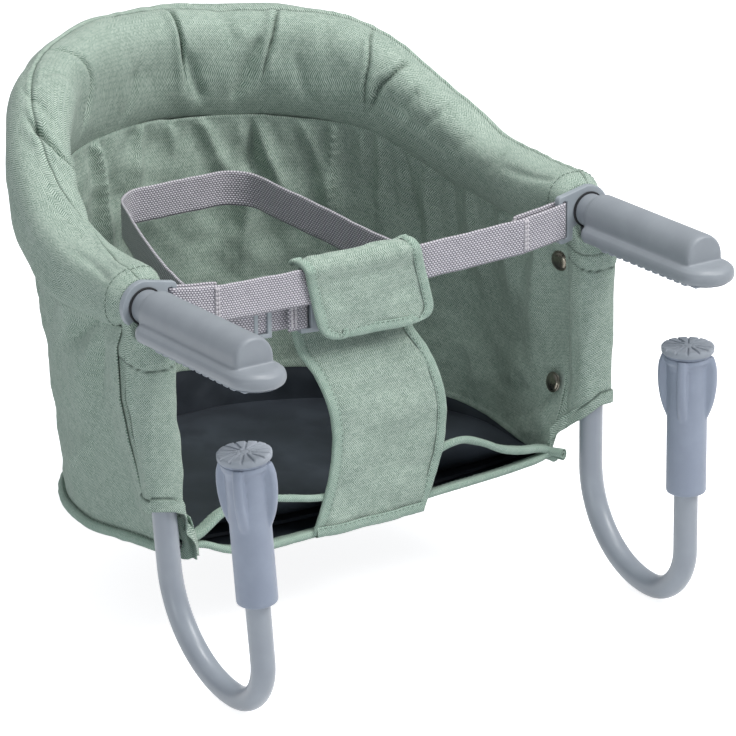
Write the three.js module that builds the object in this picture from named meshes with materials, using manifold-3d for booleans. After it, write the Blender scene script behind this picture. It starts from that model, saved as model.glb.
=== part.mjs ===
// Hook-on table chair: a fabric seat hangs in a tube hoop. The hoop's two arms lie on a table top,
// and two folding hooks below them are screwed up against its underside.
// Millimetres. +X right, -Y towards the table, +Z up. The origin lies midway between the arms,
// on the table's top face, level with the rear tubes of the hooks.

import * as THREE from 'three';
import { mergeGeometries, mergeVertices } from 'three/addons/utils/BufferGeometryUtils.js';
import Module from 'manifold-3d';

const wasm = await Module();
wasm.setup();

// Clearances and common sizes
const GAP = 0.3;                   // left between touching pieces
const OVERRUN = 2;                 // how far every cutting tool runs past what it cuts
const TUBE_RADIUS = 8.25;
const TUBE_WALL = 1.5;
const WEBBING_WIDTH = 25;
const WEBBING_THICKNESS = 1.6;
const CLOTH_THICKNESS = 3;

// Hoop: the arm tubes and the bow round the seat are one bent tube
const ARM_SPACING = 358;
const ARM_AXIS_HEIGHT = 18;
const HOOP_FRONT_Y = -105;
const HOOP_STRAIGHT_END_Y = 93;
const HOOP_BACK_Y = 285;
const HOOP_SQUARENESS = 1.9;
const HOOP_SHIFT = -16.6;          // the bow's middle stands this far to the left
const HOOP_SHIFT_START_Y = 60;
const HOOP_RISE_START_Y = 75;
const HOOP_RISE = 60;

// Padded roll round the hoop
const ROLL_FRONT_Y = 19;
const ROLL_STATION_SHARES = [0, 0.207, 0.414, 0.586, 0.723, 0.86, 1];   // along the seat's depth
const ROLL_MIDDLES = [21, 19, 26, 50, 74, 83, 87];
const ROLL_HALF_HEIGHTS = [20, 22, 25.5, 35, 40, 42, 44];
const ROLL_OUTER_WIDTHS = [21, 20, 18.5, 17, 16, 15, 14.5];
const ROLL_INNER_WIDTHS = [22, 23, 24, 25, 26, 27, 27.5];
const ROLL_SEAM_INSETS = [2, 2.5, 3.2, 3.8, 4.3, 4.8, 5.4];     // the seam on top, inwards of the tube
const ROLL_BORE_PLAY = 1.5;
const ROLL_TUCK_DEPTH = 2.2;
const ROLL_TUCKS = 9;

// Arm grips
const GRIP_RADIUS = 14.5;
const GRIP_FACE_Y = -117;          // top edge of the slanted front face
const GRIP_FACE_SLOPE = 0.06;
const GRIP_EDGE = 3;
const RAIL_EDGE = 4;
const RAIL_TIP_Y = -137;
const RAIL_HALF_WIDTH = 20;
const RAIL_BOTTOM = 2;
const RAIL_TOP = 13.5;
const RAIL_BACK_Y = -1;
const COLLAR_RADIUS = 11.5;
const COLLAR_LENGTH = 12.5;

// Rubber soles under the arms
const SOLE_HALF_WIDTH = 16.5;
const SOLE_BACK_Y = -18;
const SOLE_TIP_INSET = 3.5;
const SOLE_RIB_HEIGHT = 1;
const SOLE_RIB_WIDTH = 5;
const SOLE_RIB_PITCH = 8;

// Strap anchors on the arm necks
const ANCHOR_THICKNESS = 5;
const ANCHOR_OUTER_RADIUS = 17;
const ANCHOR_BORE_PLAY = 0.5;
const ANCHOR_REACH = 24.8;         // from the tube's axis to the outer side of the strap bar
const ANCHOR_BAR = 3.5;
const ANCHOR_SLOT = 3.5;
const ANCHOR_SLOT_LENGTH = 26.6;
const ANCHOR_RIM = 3.8;
const ANCHOR_BAR_DROP = 4.5;       // the bar's middle below the tube's axis

// Hooks
const PIVOT_DROP = 46;             // fold pivot below the arm axis
const HOOK_Y = 8;                  // the hooks' rear tubes, from the grips' rear end
const HOOK_TOP_LENGTH = 8;         // tube above the fold pivot
const HOOK_BEND_START_Z = -164.6;
const HOOK_REAR_BEND = 70;
const HOOK_FRONT_BEND = 38;
const HOOK_END_Z = -122;

// Fold brackets and rivets
const BRACKET_CHEEK_GAP = 0.4;
const BRACKET_SHEET = 1.7;
const BRACKET_HALF_WIDTH = 7.5;
const BRACKET_HEAD_ROOM = 12;      // from the pivot to the underside of the yoke
const BRACKET_POST_HALF_WIDTH = 5.5;
const BRACKET_POST_Y = 4.5;
const BRACKET_POST_LENGTH = 6.5;
const RIVET_RADIUS = 2.5;
const RIVET_HEAD_RADIUS = 4;
const RIVET_HEAD_HEIGHT = 0.8;
const RIVET_PLAY = 0.3;

// Clamps
const TABLE_GAP = 49;            // arm soles to clamp discs, as photographed
const CLAMP_DOWN = 12;
const DISC_RADIUS = 18;
const DISC_THICKNESS = 5;
const DISC_HUB_RADIUS = 4;
const DISC_GROOVE_WIDTH = 1.4;
const DISC_GROOVE_DEPTH = 1.1;
const DISC_GROOVES = 14;
const PLUG_RADIUS = 16;
const PLUG_THICKNESS = 1.5;
const PLUG_STEM_RADIUS = 5.9;
const PLUG_STEM_LENGTH = 5.4;
const KNOB_LENGTH = 98;
const KNOB_RADIUS = 13.7;
const KNOB_TOP_RADIUS = 15.8;
const KNOB_TOP_LENGTH = 4;
const KNOB_EDGE = 1.2;
const KNOB_BORE_PLAY = 0.45;
const KNOB_BORE_DEPTH = 60.5;
const KNOB_SCREW_BORE_RADIUS = 4.8;
const WING_COUNT = 4;
const WING_TURN = 39;              // degrees from the sideways direction
const WING_RADIUS = 20.6;
const WING_LENGTH = 48;
const WING_THICKNESS = 8;
const WING_EDGE = 1.6;
const SCREW_RADIUS = 4;
const SCREW_PLAY = 0.3;
const SCREW_FOOT = 16;             // screw inside the hook's tube
const NUT_RADIUS = 7.6;
const NUT_HEIGHT = 12;
const INSERT_FLANGE_RADIUS = 8;
const INSERT_FLANGE_HEIGHT = 2;
const INSERT_LENGTH = 18;

// Seat fabric
const FLOOR_FRONT_Y = 22;
const FLOOR_FRONT_HALF_WIDTH = 149;
const FLOOR_HALF_WIDTH = 163;
const FLOOR_FRONT_SHIFT = 5;         // its front corners stand this far to the right
const FLOOR_WIDEST_Y = 105;
const FLOOR_BACK_Y = 252;
const FLOOR_TOP_Z = -161.5;
const FLOOR_LAYER = 2.4;
const FLOOR_POCKET = 3.5;          // room between the two floor layers
const FLOOR_MOUTH_LIFT = 22;
const FLOOR_MOUTH_DEPTH = 45;
const FLOOR_SAG = 8;
const BOARD_THICKNESS = 2.4;
const BOARD_INSET = 9;
const BOARD_SETBACK = 30;
const PIPING_RADIUS = 4;
const PANEL_FRONT_Y = 22.6;
const PANEL_TOP_OUTSET = 9;        // outer face from the hoop's line, under the roll
const PANEL_BACK_OUTSET = 4;
const PANEL_TOP_THICKNESS = 19;
const PANEL_FRONT_TOP_Z = -5;
const PANEL_TOP_SLOPE_END_Y = 38;
const PANEL_CORNER_Z = -124;
const PANEL_CORNER_END_Y = 48;
const PANEL_FOLD_DEPTH = 2.4;
const PANEL_FOLDS = 26;

// Hook pockets of the seat fabric
const POCKET_HEM_Z = -123;
const POCKET_SPLIT_Z = -38;
const POCKET_TOP_Z = -5;
const POCKET_HALF_WIDTH = 15;
const POCKET_HALF_DEPTH = 14;
const POCKET_HEM_HALF_WIDTH = 12.7;
const POCKET_HEM_HALF_DEPTH = 11.5;
const POCKET_CLOTH = 2;
const POCKET_FULLNESS = 0.63;

// Press snaps
const SNAP_RADIUS = 7.35;
const SNAP_RIM = 0.8;
const SNAP_CROWN_RADIUS = 5.9;
const SNAP_SHOULDER = 2;
const SNAP_HEIGHT = 2.4;
const SNAP_PLAY = 0.5;
const UPPER_SNAP_Y = 31;
const UPPER_SNAP_Z = -22;
const LOWER_SNAP_Y = 32;
const LOWER_SNAP_Z = -110;

// Front webbing, lap belt, buckle and crotch strap
const WEBBING_SAG = 11;
const WEBBING_SET_BACK = 7.5;       // of its middle, from its ends
const WEBBING_FOLD_LENGTH = 34;
const LAP_FRONT_Y = 34;
const LAP_FRONT_Z = -16.5;
const BUCKLE_LENGTH = 42;
const BUCKLE_THICKNESS = 10.5;
const BUCKLE_RIM = 4;
const BUCKLE_BAR = 3.5;
const BUCKLE_SLOT = 4;
const BUCKLE_JAW_DEPTH = 24;
const BUCKLE_JAW_HEIGHT = 6;
const TONGUE_LENGTH = 36;
const PRONG_WIDTH = 5;
const BUCKLE_LEFT_X = -46;
const ADJUSTER_LENGTH = 13;
const ADJUSTER_THICKNESS = 3;
const ADJUSTER_RIM = 3;
const ADJUSTER_X = -73;
const CROTCH_HALF_WIDTH = 45;
const CROTCH_SWELL = 1;               // how much wider it is on each side at its middle
const CROTCH_BELLY = 1;
const CROTCH_LEAN = 17;
const CROTCH_LEAN_PEAK = 1.55;        // the lean is gone at one part in this of the strap's length
const FLAP_LEAN = 9;
const FLAP_PLAY = 2.2;             // between the flap and the webbing it hangs over
const LEFT_HOOK_SWING = 4.5;       // degrees the left hook hangs inwards, as photographed
const CROTCH_BOTTOM_Z = -174;
const FLAP_OVERHANG = 1;             // how far the flap reaches past the strap's foot on each side

const ARM_X = ARM_SPACING / 2;
const PIVOT_Z = ARM_AXIS_HEIGHT - PIVOT_DROP;
const CLAMP_Y = HOOK_Y - HOOK_REAR_BEND - HOOK_FRONT_BEND;
const ANCHOR_BACK_Y = COLLAR_LENGTH + GAP + ANCHOR_THICKNESS;
const WEBBING_Z = ARM_AXIS_HEIGHT - ANCHOR_BAR_DROP;
const WEBBING_Y = ANCHOR_BACK_Y - ANCHOR_THICKNESS / 2 + WEBBING_SET_BACK;

// Materials

function finish(color, roughness, metalness = 0) {
  return new THREE.MeshStandardMaterial({ color, roughness, metalness });
}

const fabric = finish(0x9cb5a3, 0.95);
const floorCloth = finish(0x2b2f38, 0.8);
const webbing = finish(0xb6b0b6, 0.9);
const gripPlastic = finish(0x868b90, 0.5);
const palePlastic = finish(0x9ba3ab, 0.45);
const knobPlastic = finish(0x8f98a8, 0.45);
const rubber = finish(0x9aa0a8, 0.75);
const paintedTube = finish(0xa2a6ac, 0.4, 0.2);
const steel = finish(0x8d8f92, 0.3, 0.9);
const snapMetal = finish(0x6f6a62, 0.3, 0.9);

// Solids

function toManifold(geometry) {
  const bare = geometry.index ? geometry.clone() : geometry;
  for (const name of Object.keys(bare.attributes)) {
    if (name !== 'position') bare.deleteAttribute(name);
  }
  const merged = mergeVertices(bare, GAP / 1000);
  const index = merged.index.array;
  const kept = [];
  for (let i = 0; i < index.length; i += 3) {
    const [a, b, c] = [index[i], index[i + 1], index[i + 2]];
    if (a !== b && b !== c && c !== a) kept.push(a, b, c);
  }
  return new wasm.Manifold(new wasm.Mesh({
    numProp: 3,
    vertProperties: new Float32Array(merged.attributes.position.array),
    triVerts: new Uint32Array(kept),
  }));
}

function toGeometry(manifold) {
  const mesh = manifold.getMesh();
  const geometry = new THREE.BufferGeometry();
  geometry.setAttribute('position', new THREE.BufferAttribute(new Float32Array(mesh.vertProperties), 3));
  geometry.setIndex(new THREE.BufferAttribute(new Uint32Array(mesh.triVerts), 1));
  return geometry;
}

function join(...geometries) {
  return toGeometry(geometries.map(toManifold).reduce((sum, next) => sum.add(next)));
}

function cut(geometry, ...tools) {
  return toGeometry(tools.map(toManifold).reduce((rest, tool) => rest.subtract(tool), toManifold(geometry)));
}

function flipped(geometry) {
  const index = geometry.index.array;
  for (let i = 0; i < index.length; i += 3) [index[i], index[i + 1]] = [index[i + 1], index[i]];
  return geometry;
}

function signedVolume(geometry) {
  const position = geometry.attributes.position;
  const index = geometry.index.array;
  const [a, b, c] = [new THREE.Vector3(), new THREE.Vector3(), new THREE.Vector3()];
  let volume = 0;
  for (let i = 0; i < index.length; i += 3) {
    a.fromBufferAttribute(position, index[i]);
    b.fromBufferAttribute(position, index[i + 1]);
    c.fromBufferAttribute(position, index[i + 2]);
    volume += a.dot(b.cross(c));
  }
  return volume;
}

// A closed solid from points and triangles, with its faces turned outwards
function solid(points, triangles) {
  const geometry = new THREE.BufferGeometry().setFromPoints(points);
  geometry.setIndex(triangles);
  return signedVolume(geometry) < 0 ? flipped(geometry) : geometry;
}

// A tube-like solid through rings of equal counts, with flat ends
function loft(rings) {
  const count = rings[0].length;
  const triangles = [];
  for (let r = 0; r + 1 < rings.length; r++) {
    for (let i = 0; i < count; i++) {
      const a = r * count + i;
      const b = r * count + (i + 1) % count;
      triangles.push(a, b, a + count, b, b + count, a + count);
    }
  }
  const last = (rings.length - 1) * count;
  for (let i = 1; i + 1 < count; i++) {
    triangles.push(0, i + 1, i);
    triangles.push(last, last + i, last + i + 1);
  }
  return solid(rings.flat(), triangles);
}

// A sheet-like solid between two faces, each a function of two shares from 0 to 1
function slab(front, back, across, along) {
  const points = [];
  for (const face of [front, back]) {
    for (let j = 0; j <= along; j++) {
      for (let i = 0; i <= across; i++) points.push(face(i / across, j / along));
    }
  }
  const width = across + 1;
  const offset = width * (along + 1);
  const triangles = [];
  for (let j = 0; j < along; j++) {
    for (let i = 0; i < across; i++) {
      const a = j * width + i;
      triangles.push(a, a + 1, a + width, a + 1, a + width + 1, a + width);
      const b = a + offset;
      triangles.push(b, b + width, b + 1, b + 1, b + width, b + width + 1);
    }
  }
  const rim = [];
  for (let i = 0; i < across; i++) rim.push(i);
  for (let j = 0; j < along; j++) rim.push(j * width + across);
  for (let i = across; i > 0; i--) rim.push(along * width + i);
  for (let j = along; j > 0; j--) rim.push(j * width);
  rim.forEach((a, k) => {
    const b = rim[(k + 1) % rim.length];
    triangles.push(a, a + offset, b, b, a + offset, b + offset);
  });
  return solid(points, triangles);
}

// A plate with a closed outline, its two faces given as heights over the plan
function plate(outline, top, bottom, rings) {
  const centre = new THREE.Vector2();
  outline.forEach((p) => centre.addScaledVector(p, 1 / outline.length));
  const points = [];
  for (const height of [top, bottom]) {
    points.push(new THREE.Vector3(centre.x, centre.y, height(centre.x, centre.y)));
    for (let r = 1; r <= rings; r++) {
      for (const p of outline) {
        const q = centre.clone().lerp(p, r / rings);
        points.push(new THREE.Vector3(q.x, q.y, height(q.x, q.y)));
      }
    }
  }
  const count = outline.length;
  const offset = 1 + rings * count;
  const triangles = [];
  for (let i = 0; i < count; i++) {
    const k = (i + 1) % count;
    triangles.push(0, 1 + i, 1 + k);
    triangles.push(offset, offset + 1 + k, offset + 1 + i);
    for (let r = 0; r + 1 < rings; r++) {
      const a = 1 + r * count + i;
      const b = 1 + r * count + k;
      triangles.push(a, a + count, b, b, a + count, b + count);
      triangles.push(a + offset, b + offset, a + count + offset);
      triangles.push(b + offset, b + count + offset, a + count + offset);
    }
    const a = 1 + (rings - 1) * count + i;
    const b = 1 + (rings - 1) * count + k;
    triangles.push(a, a + offset, b, b, a + offset, b + offset);
  }
  return solid(points, triangles);
}

// A route through given points; an extrusion along it has one step for each of them
class Route extends THREE.Curve {
  constructor(points) {
    super();
    this.points = points;
  }

  get steps() {
    return this.points.length - 1;
  }

  getPoint(share, target = new THREE.Vector3()) {
    const at = Math.min(Math.max(share, 0), 1) * this.steps;
    const i = Math.min(Math.floor(at), this.steps - 1);
    return target.lerpVectors(this.points[i], this.points[i + 1], at - i);
  }

  getPointAt(share, target) {
    return this.getPoint(share, target);
  }

  getTangentAt(share, target = new THREE.Vector3()) {
    const i = Math.round(share * this.steps);
    const before = this.points[Math.max(i - 1, 0)];
    const after = this.points[Math.min(i + 1, this.steps)];
    const here = this.points[i];
    const arriving = here.clone().sub(before).normalize();
    const leaving = after.clone().sub(here).normalize();
    return target.addVectors(arriving, leaving).normalize();
  }
}

function alongRoute(points, section) {
  const route = new Route(points);
  return new THREE.ExtrudeGeometry(section, { steps: route.steps, extrudePath: route, bevelEnabled: false });
}

function circle(radius, sides, hole = null) {
  const shape = new THREE.Shape(ringPoints(radius, sides));
  if (hole) shape.holes.push(new THREE.Path(ringPoints(hole.radius, hole.sides).reverse()));
  return shape;
}

function ringPoints(radius, sides) {
  const points = [];
  for (let i = 0; i < sides; i++) {
    const angle = 2 * Math.PI * (i + 0.5) / sides;
    points.push(new THREE.Vector2(radius * Math.cos(angle), radius * Math.sin(angle)));
  }
  return points;
}

// The radius of a polygon whose flats clear a round piece by the given play
function aroundRadius(radius, play, sides) {
  return (radius + play) / Math.cos(Math.PI / sides);
}

// A bar along Z, from low to high, turned so that its axis may lie along another axis afterwards
function bar(radius, low, high, sides) {
  const geometry = new THREE.CylinderGeometry(radius, radius, high - low, sides);
  geometry.rotateX(Math.PI / 2);
  geometry.rotateZ(Math.PI / sides);
  geometry.translate(0, 0, (low + high) / 2);
  return geometry;
}

function barAlongY(radius, low, high, sides) {
  const geometry = bar(radius, low, high, sides);
  geometry.rotateX(-Math.PI / 2);
  return geometry;
}

function box(x0, x1, y0, y1, z0, z1) {
  const geometry = new THREE.BoxGeometry(x1 - x0, y1 - y0, z1 - z0);
  geometry.translate((x0 + x1) / 2, (y0 + y1) / 2, (z0 + z1) / 2);
  return geometry;
}

// An outline in the XY plane raised along Z, with rounded edges inside the given heights
function raised(shape, low, high, edge = 0, curveSegments = 5) {
  const geometry = new THREE.ExtrudeGeometry(shape, {
    depth: high - low - 2 * edge,
    bevelEnabled: edge > 0,
    bevelThickness: edge,
    bevelSize: edge,
    bevelOffset: -edge,
    bevelSegments: 2,
    curveSegments,
  });
  geometry.translate(0, 0, low + edge);
  return toGeometry(toManifold(geometry));
}

// The same outline, but standing in the XZ plane and running along Y
function raisedAlongY(shape, low, high, edge = 0, curveSegments = 5) {
  const geometry = raised(shape, -high, -low, edge, curveSegments);
  geometry.rotateX(Math.PI / 2);
  return geometry;
}

function smooth(value, start, end) {
  return THREE.MathUtils.smoothstep(value, start, end);
}

function between(a, b, share) {
  return THREE.MathUtils.lerp(a, b, share);
}

// The hoop's line

function hoopPlan(frontY, steps) {
  const points = [new THREE.Vector2(-ARM_X, frontY)];
  const fine = 4 * steps;
  for (let i = 0; i <= fine; i++) {
    const angle = Math.PI * (1 - i / fine);
    const x = ARM_X * Math.sign(Math.cos(angle)) * Math.pow(Math.abs(Math.cos(angle)), 2 / HOOP_SQUARENESS);
    const deep = Math.pow(Math.max(Math.sin(angle), 0), 2 / HOOP_SQUARENESS);
    points.push(new THREE.Vector2(x, between(HOOP_STRAIGHT_END_Y, HOOP_BACK_Y, deep)));
  }
  points.push(new THREE.Vector2(ARM_X, frontY));
  return new THREE.Path(points).getSpacedPoints(steps).map((p) => {
    const share = Math.max(p.y - HOOP_SHIFT_START_Y, 0) / (HOOP_BACK_Y - HOOP_SHIFT_START_Y);
    return new THREE.Vector2(p.x + HOOP_SHIFT * Math.pow(share, 1.5), p.y);
  });
}

function hoopHeight(y) {
  return ARM_AXIS_HEIGHT + HOOP_RISE * smooth(y, HOOP_RISE_START_Y, HOOP_BACK_Y);
}

// The outward directions, in plan, along a line of points
function outwards(points) {
  return points.map((point, i) => {
    const before = points[Math.max(i - 1, 0)];
    const after = points[Math.min(i + 1, points.length - 1)];
    return new THREE.Vector2(before.y - after.y, after.x - before.x).normalize();
  });
}

function hoopRoute(frontY, steps) {
  return hoopPlan(frontY, steps).map((p) => new THREE.Vector3(p.x, p.y, hoopHeight(p.y)));
}

function hoopTube() {
  const wall = circle(TUBE_RADIUS, 10, { radius: TUBE_RADIUS - TUBE_WALL, sides: 6 });
  return alongRoute(hoopRoute(HOOP_FRONT_Y, 36), wall);
}

// The roll: its outline in each upright section, fuller than an ellipse, with tucks pressed in

const ROLL_FULLNESS = 0.8;
const ROLL_STEPS = 52;
const ROLL_POINTS = 14;

function rollTable(values) {
  const curve = new THREE.CubicInterpolant(ROLL_STATION_SHARES, values, 1);
  return (y) => curve.evaluate(THREE.MathUtils.clamp(y / HOOP_BACK_Y, 0, 1))[0];
}

const rollMiddle = rollTable(ROLL_MIDDLES);
const rollHalfHeight = rollTable(ROLL_HALF_HEIGHTS);
const rollOuterWidth = rollTable(ROLL_OUTER_WIDTHS);
const rollInnerWidth = rollTable(ROLL_INNER_WIDTHS);
const rollSeamInset = rollTable(ROLL_SEAM_INSETS);

function rollBody(swell, tuckDepth) {
  const plan = hoopPlan(ROLL_FRONT_Y - swell, ROLL_STEPS);
  const out = outwards(plan);
  return loft(plan.map((p, station) => {
    const tuck = tuckDepth * Math.pow(Math.cos(Math.PI * ROLL_TUCKS * station / ROLL_STEPS), 8);
    const ring = [];
    for (let i = 0; i < ROLL_POINTS; i++) {
      const angle = 2 * Math.PI * i / ROLL_POINTS + Math.PI / 2;
      const [c, s] = [Math.cos(angle), Math.sin(angle)];
      const sideways = Math.pow(Math.abs(c), ROLL_FULLNESS);
      const pressed = c < 0 ? tuck : 0;
      const middle = s > 0 ? -rollSeamInset(p.y) * (1 - sideways) : 0;
      const width = c > 0 ? rollOuterWidth(p.y) + swell : pressed - rollInnerWidth(p.y) - swell;
      const o = middle + width * sideways;
      const v = (rollHalfHeight(p.y) + swell) * Math.sign(s) * Math.pow(Math.abs(s), ROLL_FULLNESS);
      ring.push(new THREE.Vector3(p.x + out[station].x * o, p.y + out[station].y * o, rollMiddle(p.y) + v));
    }
    return ring;
  }));
}

function paddedRoll() {
  const sides = 8;
  const bore = circle(aroundRadius(TUBE_RADIUS, ROLL_BORE_PLAY, sides), sides);
  const boreTool = alongRoute(hoopRoute(ROLL_FRONT_Y - OVERRUN, ROLL_STEPS), bore);
  return cut(rollBody(0, ROLL_TUCK_DEPTH), boreTool);
}

// Seat walls: the line of the hoop above, the line of the floor below

const WALL_STEPS = 60;

function floorPlan(frontY, steps, outset = 0) {
  const path = new THREE.Path();
  const backRadius = FLOOR_BACK_Y - FLOOR_WIDEST_Y + outset;
  const share = (frontY - FLOOR_FRONT_Y) / (FLOOR_WIDEST_Y - FLOOR_FRONT_Y);
  const frontX = between(FLOOR_FRONT_HALF_WIDTH, FLOOR_HALF_WIDTH, share) + outset;
  path.moveTo(-frontX, frontY);
  path.lineTo(-FLOOR_HALF_WIDTH - outset, FLOOR_WIDEST_Y);
  path.absellipse(0, FLOOR_WIDEST_Y, FLOOR_HALF_WIDTH + outset, backRadius, Math.PI, 0, true);
  path.lineTo(frontX, frontY);
  return path.getSpacedPoints(steps).map((p) => {
    const shift = FLOOR_FRONT_SHIFT * (1 - smooth(p.y, FLOOR_FRONT_Y, FLOOR_WIDEST_Y));
    return new THREE.Vector2(p.x + shift, p.y);
  });
}

const wallTopPlan = hoopPlan(PANEL_FRONT_Y, WALL_STEPS);
const wallTopOut = outwards(wallTopPlan);
const wallFootPlan = floorPlan(PANEL_FRONT_Y, WALL_STEPS);
const wallFootOut = outwards(wallFootPlan);

function onLine(points, share) {
  const at = share * (points.length - 1);
  const i = Math.min(Math.floor(at), points.length - 2);
  return points[i].clone().lerp(points[i + 1], at - i);
}

function wallTopHeight(y) {
  return between(PANEL_FRONT_TOP_Z, rollMiddle(y), smooth(y, PANEL_FRONT_Y, PANEL_TOP_SLOPE_END_Y));
}

function wallFootHeight(y) {
  const foot = FLOOR_TOP_Z + GAP + FLOOR_LAYER / 2;
  return between(PANEL_CORNER_Z, foot, smooth(y, PANEL_FRONT_Y, PANEL_CORNER_END_Y));
}

// A point of the wall: share round the seat, share of its height, share of its thickness from inside
function wallPoint(round, up, through, folded = true) {
  const top = onLine(wallTopPlan, round);
  const foot = onLine(wallFootPlan, round);
  const topOut = onLine(wallTopOut, round);
  const footOut = onLine(wallFootOut, round);
  const spread = smooth(up, 0.35, 0.95);
  const thickness = between(CLOTH_THICKNESS, PANEL_TOP_THICKNESS, spread);
  const topOutset = between(PANEL_TOP_OUTSET, PANEL_BACK_OUTSET, smooth(top.y, PANEL_CORNER_END_Y, HOOP_BACK_Y / 2));
  const outset = between(CLOTH_THICKNESS, topOutset, up);
  const fade = smooth(top.y, PANEL_CORNER_END_Y, HOOP_STRAIGHT_END_Y) * Math.sin(Math.PI * up);
  const wave = folded ? PANEL_FOLD_DEPTH * fade * Math.sin(2 * Math.PI * PANEL_FOLDS * round) : 0;
  const lip = outset - (1 - through) * thickness + wave;
  const point = foot.clone().addScaledVector(footOut, lip).lerp(top.clone().addScaledVector(topOut, lip), up);
  const height = between(wallFootHeight(foot.y), wallTopHeight(top.y), up);
  return new THREE.Vector3(point.x, point.y, height);
}

function wallPanel(start, end, across) {
  const seam = GAP / 2 / (2 * HOOP_BACK_Y);
  const from = start > 0 ? start + seam : start;
  const to = end < 1 ? end - seam : end;
  const face = (through) => (i, j) => wallPoint(between(from, to, i), j, through);
  return cut(slab(face(1), face(0), across, 7), rollBody(GAP, 0));
}

const SIDE_PANEL_SHARE = 0.31;

function rightPanel() {
  return wallPanel(1 - SIDE_PANEL_SHARE, 1, 16);
}

function leftPanel() {
  return wallPanel(0, SIDE_PANEL_SHARE, 16);
}

function backPanel() {
  return wallPanel(SIDE_PANEL_SHARE, 1 - SIDE_PANEL_SHARE, 30);
}

// Seat floor: two layers with an open pocket between them, and the board inside

function floorOutline(frontY, inset) {
  const round = floorPlan(frontY, 34, -inset);
  const left = round[0];
  const right = round[round.length - 1];
  const across = 12;
  for (let i = 1; i < across; i++) round.push(right.clone().lerp(left, i / across));
  return round;
}

function sag(x, y) {
  const middle = 1 - Math.pow(x / FLOOR_HALF_WIDTH, 2);
  return FLOOR_SAG * Math.max(middle, 0) * (1 - smooth(y, FLOOR_WIDEST_Y, FLOOR_BACK_Y));
}

// How far the mouth of the floor pocket stands open, on each side of the crotch strap
function mouth(x, y) {
  const side = (Math.abs(x) - CROTCH_HALF_WIDTH) / (FLOOR_FRONT_HALF_WIDTH - CROTCH_HALF_WIDTH);
  const open = Math.sin(Math.PI * THREE.MathUtils.clamp(side, 0, 1));
  return FLOOR_MOUTH_LIFT * open * (1 - smooth(y, FLOOR_FRONT_Y, FLOOR_FRONT_Y + FLOOR_MOUTH_DEPTH));
}

function floorLayer(topZ, lift) {
  const outline = floorOutline(FLOOR_FRONT_Y, GAP);
  const top = (x, y) => topZ - sag(x, y) + lift(x, y);
  return plate(outline, top, (x, y) => top(x, y) - FLOOR_LAYER, 4);
}

function upperFloor() {
  return floorLayer(FLOOR_TOP_Z, mouth);
}

function lowerFloor() {
  return floorLayer(FLOOR_TOP_Z - FLOOR_LAYER - FLOOR_POCKET, () => 0);
}

function seatBoard() {
  const middleZ = FLOOR_TOP_Z - FLOOR_LAYER - FLOOR_POCKET / 2;
  const outline = floorOutline(FLOOR_FRONT_Y + BOARD_SETBACK, BOARD_INSET);
  const height = (side) => (x, y) => middleZ - sag(x, y) + side * BOARD_THICKNESS / 2;
  return plate(outline, height(1), height(-1), 3);
}

function bottomPiping() {
  const plan = floorPlan(PANEL_CORNER_END_Y, 36, PIPING_RADIUS + GAP);
  const z = FLOOR_TOP_Z - PIPING_RADIUS + FLOOR_LAYER / 2;
  return alongRoute(plan.map((p) => new THREE.Vector3(p.x, p.y, z)), circle(PIPING_RADIUS, 6));
}

// Hook pockets: sleeves of cloth with rounded sides

function sleeve(lowZ, highZ, inset) {
  const rings = [];
  const levels = 3;
  for (let level = 0; level <= levels; level++) {
    const z = between(lowZ, highZ, level / levels);
    const rise = smooth(z, POCKET_HEM_Z, POCKET_SPLIT_Z);
    const halfWidth = between(POCKET_HEM_HALF_WIDTH, POCKET_HALF_WIDTH, rise) - inset;
    const halfDepth = between(POCKET_HEM_HALF_DEPTH, POCKET_HALF_DEPTH, rise) - inset;
    const ring = [];
    const sides = 16;
    for (let i = 0; i < sides; i++) {
      const angle = 2 * Math.PI * i / sides;
      const [c, s] = [Math.cos(angle), Math.sin(angle)];
      const x = halfWidth * Math.sign(c) * Math.pow(Math.abs(c), POCKET_FULLNESS);
      const y = halfDepth * Math.sign(s) * Math.pow(Math.abs(s), POCKET_FULLNESS);
      ring.push(new THREE.Vector3(ARM_X + x, HOOK_Y + y, z));
    }
    rings.push(ring);
  }
  return loft(rings);
}

function pocket(lowZ, highZ) {
  return cut(sleeve(lowZ, highZ, 0), sleeve(lowZ - OVERRUN, highZ + OVERRUN, POCKET_CLOTH));
}

// Arm grips and their soles

function railOutline(inset) {
  const halfWidth = RAIL_HALF_WIDTH - inset;
  const shape = new THREE.Shape();
  const tip = RAIL_TIP_Y + inset;
  const back = inset ? SOLE_BACK_Y : RAIL_BACK_Y;
  const corner = halfWidth / 3;
  shape.moveTo(halfWidth, tip + halfWidth);
  shape.lineTo(halfWidth, back - corner);
  shape.quadraticCurveTo(halfWidth, back, halfWidth - corner, back);
  shape.lineTo(corner - halfWidth, back);
  shape.quadraticCurveTo(-halfWidth, back, -halfWidth, back - corner);
  shape.lineTo(-halfWidth, tip + halfWidth);
  shape.absarc(0, tip + halfWidth, halfWidth, Math.PI, 2 * Math.PI, false);
  return shape;
}

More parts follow.
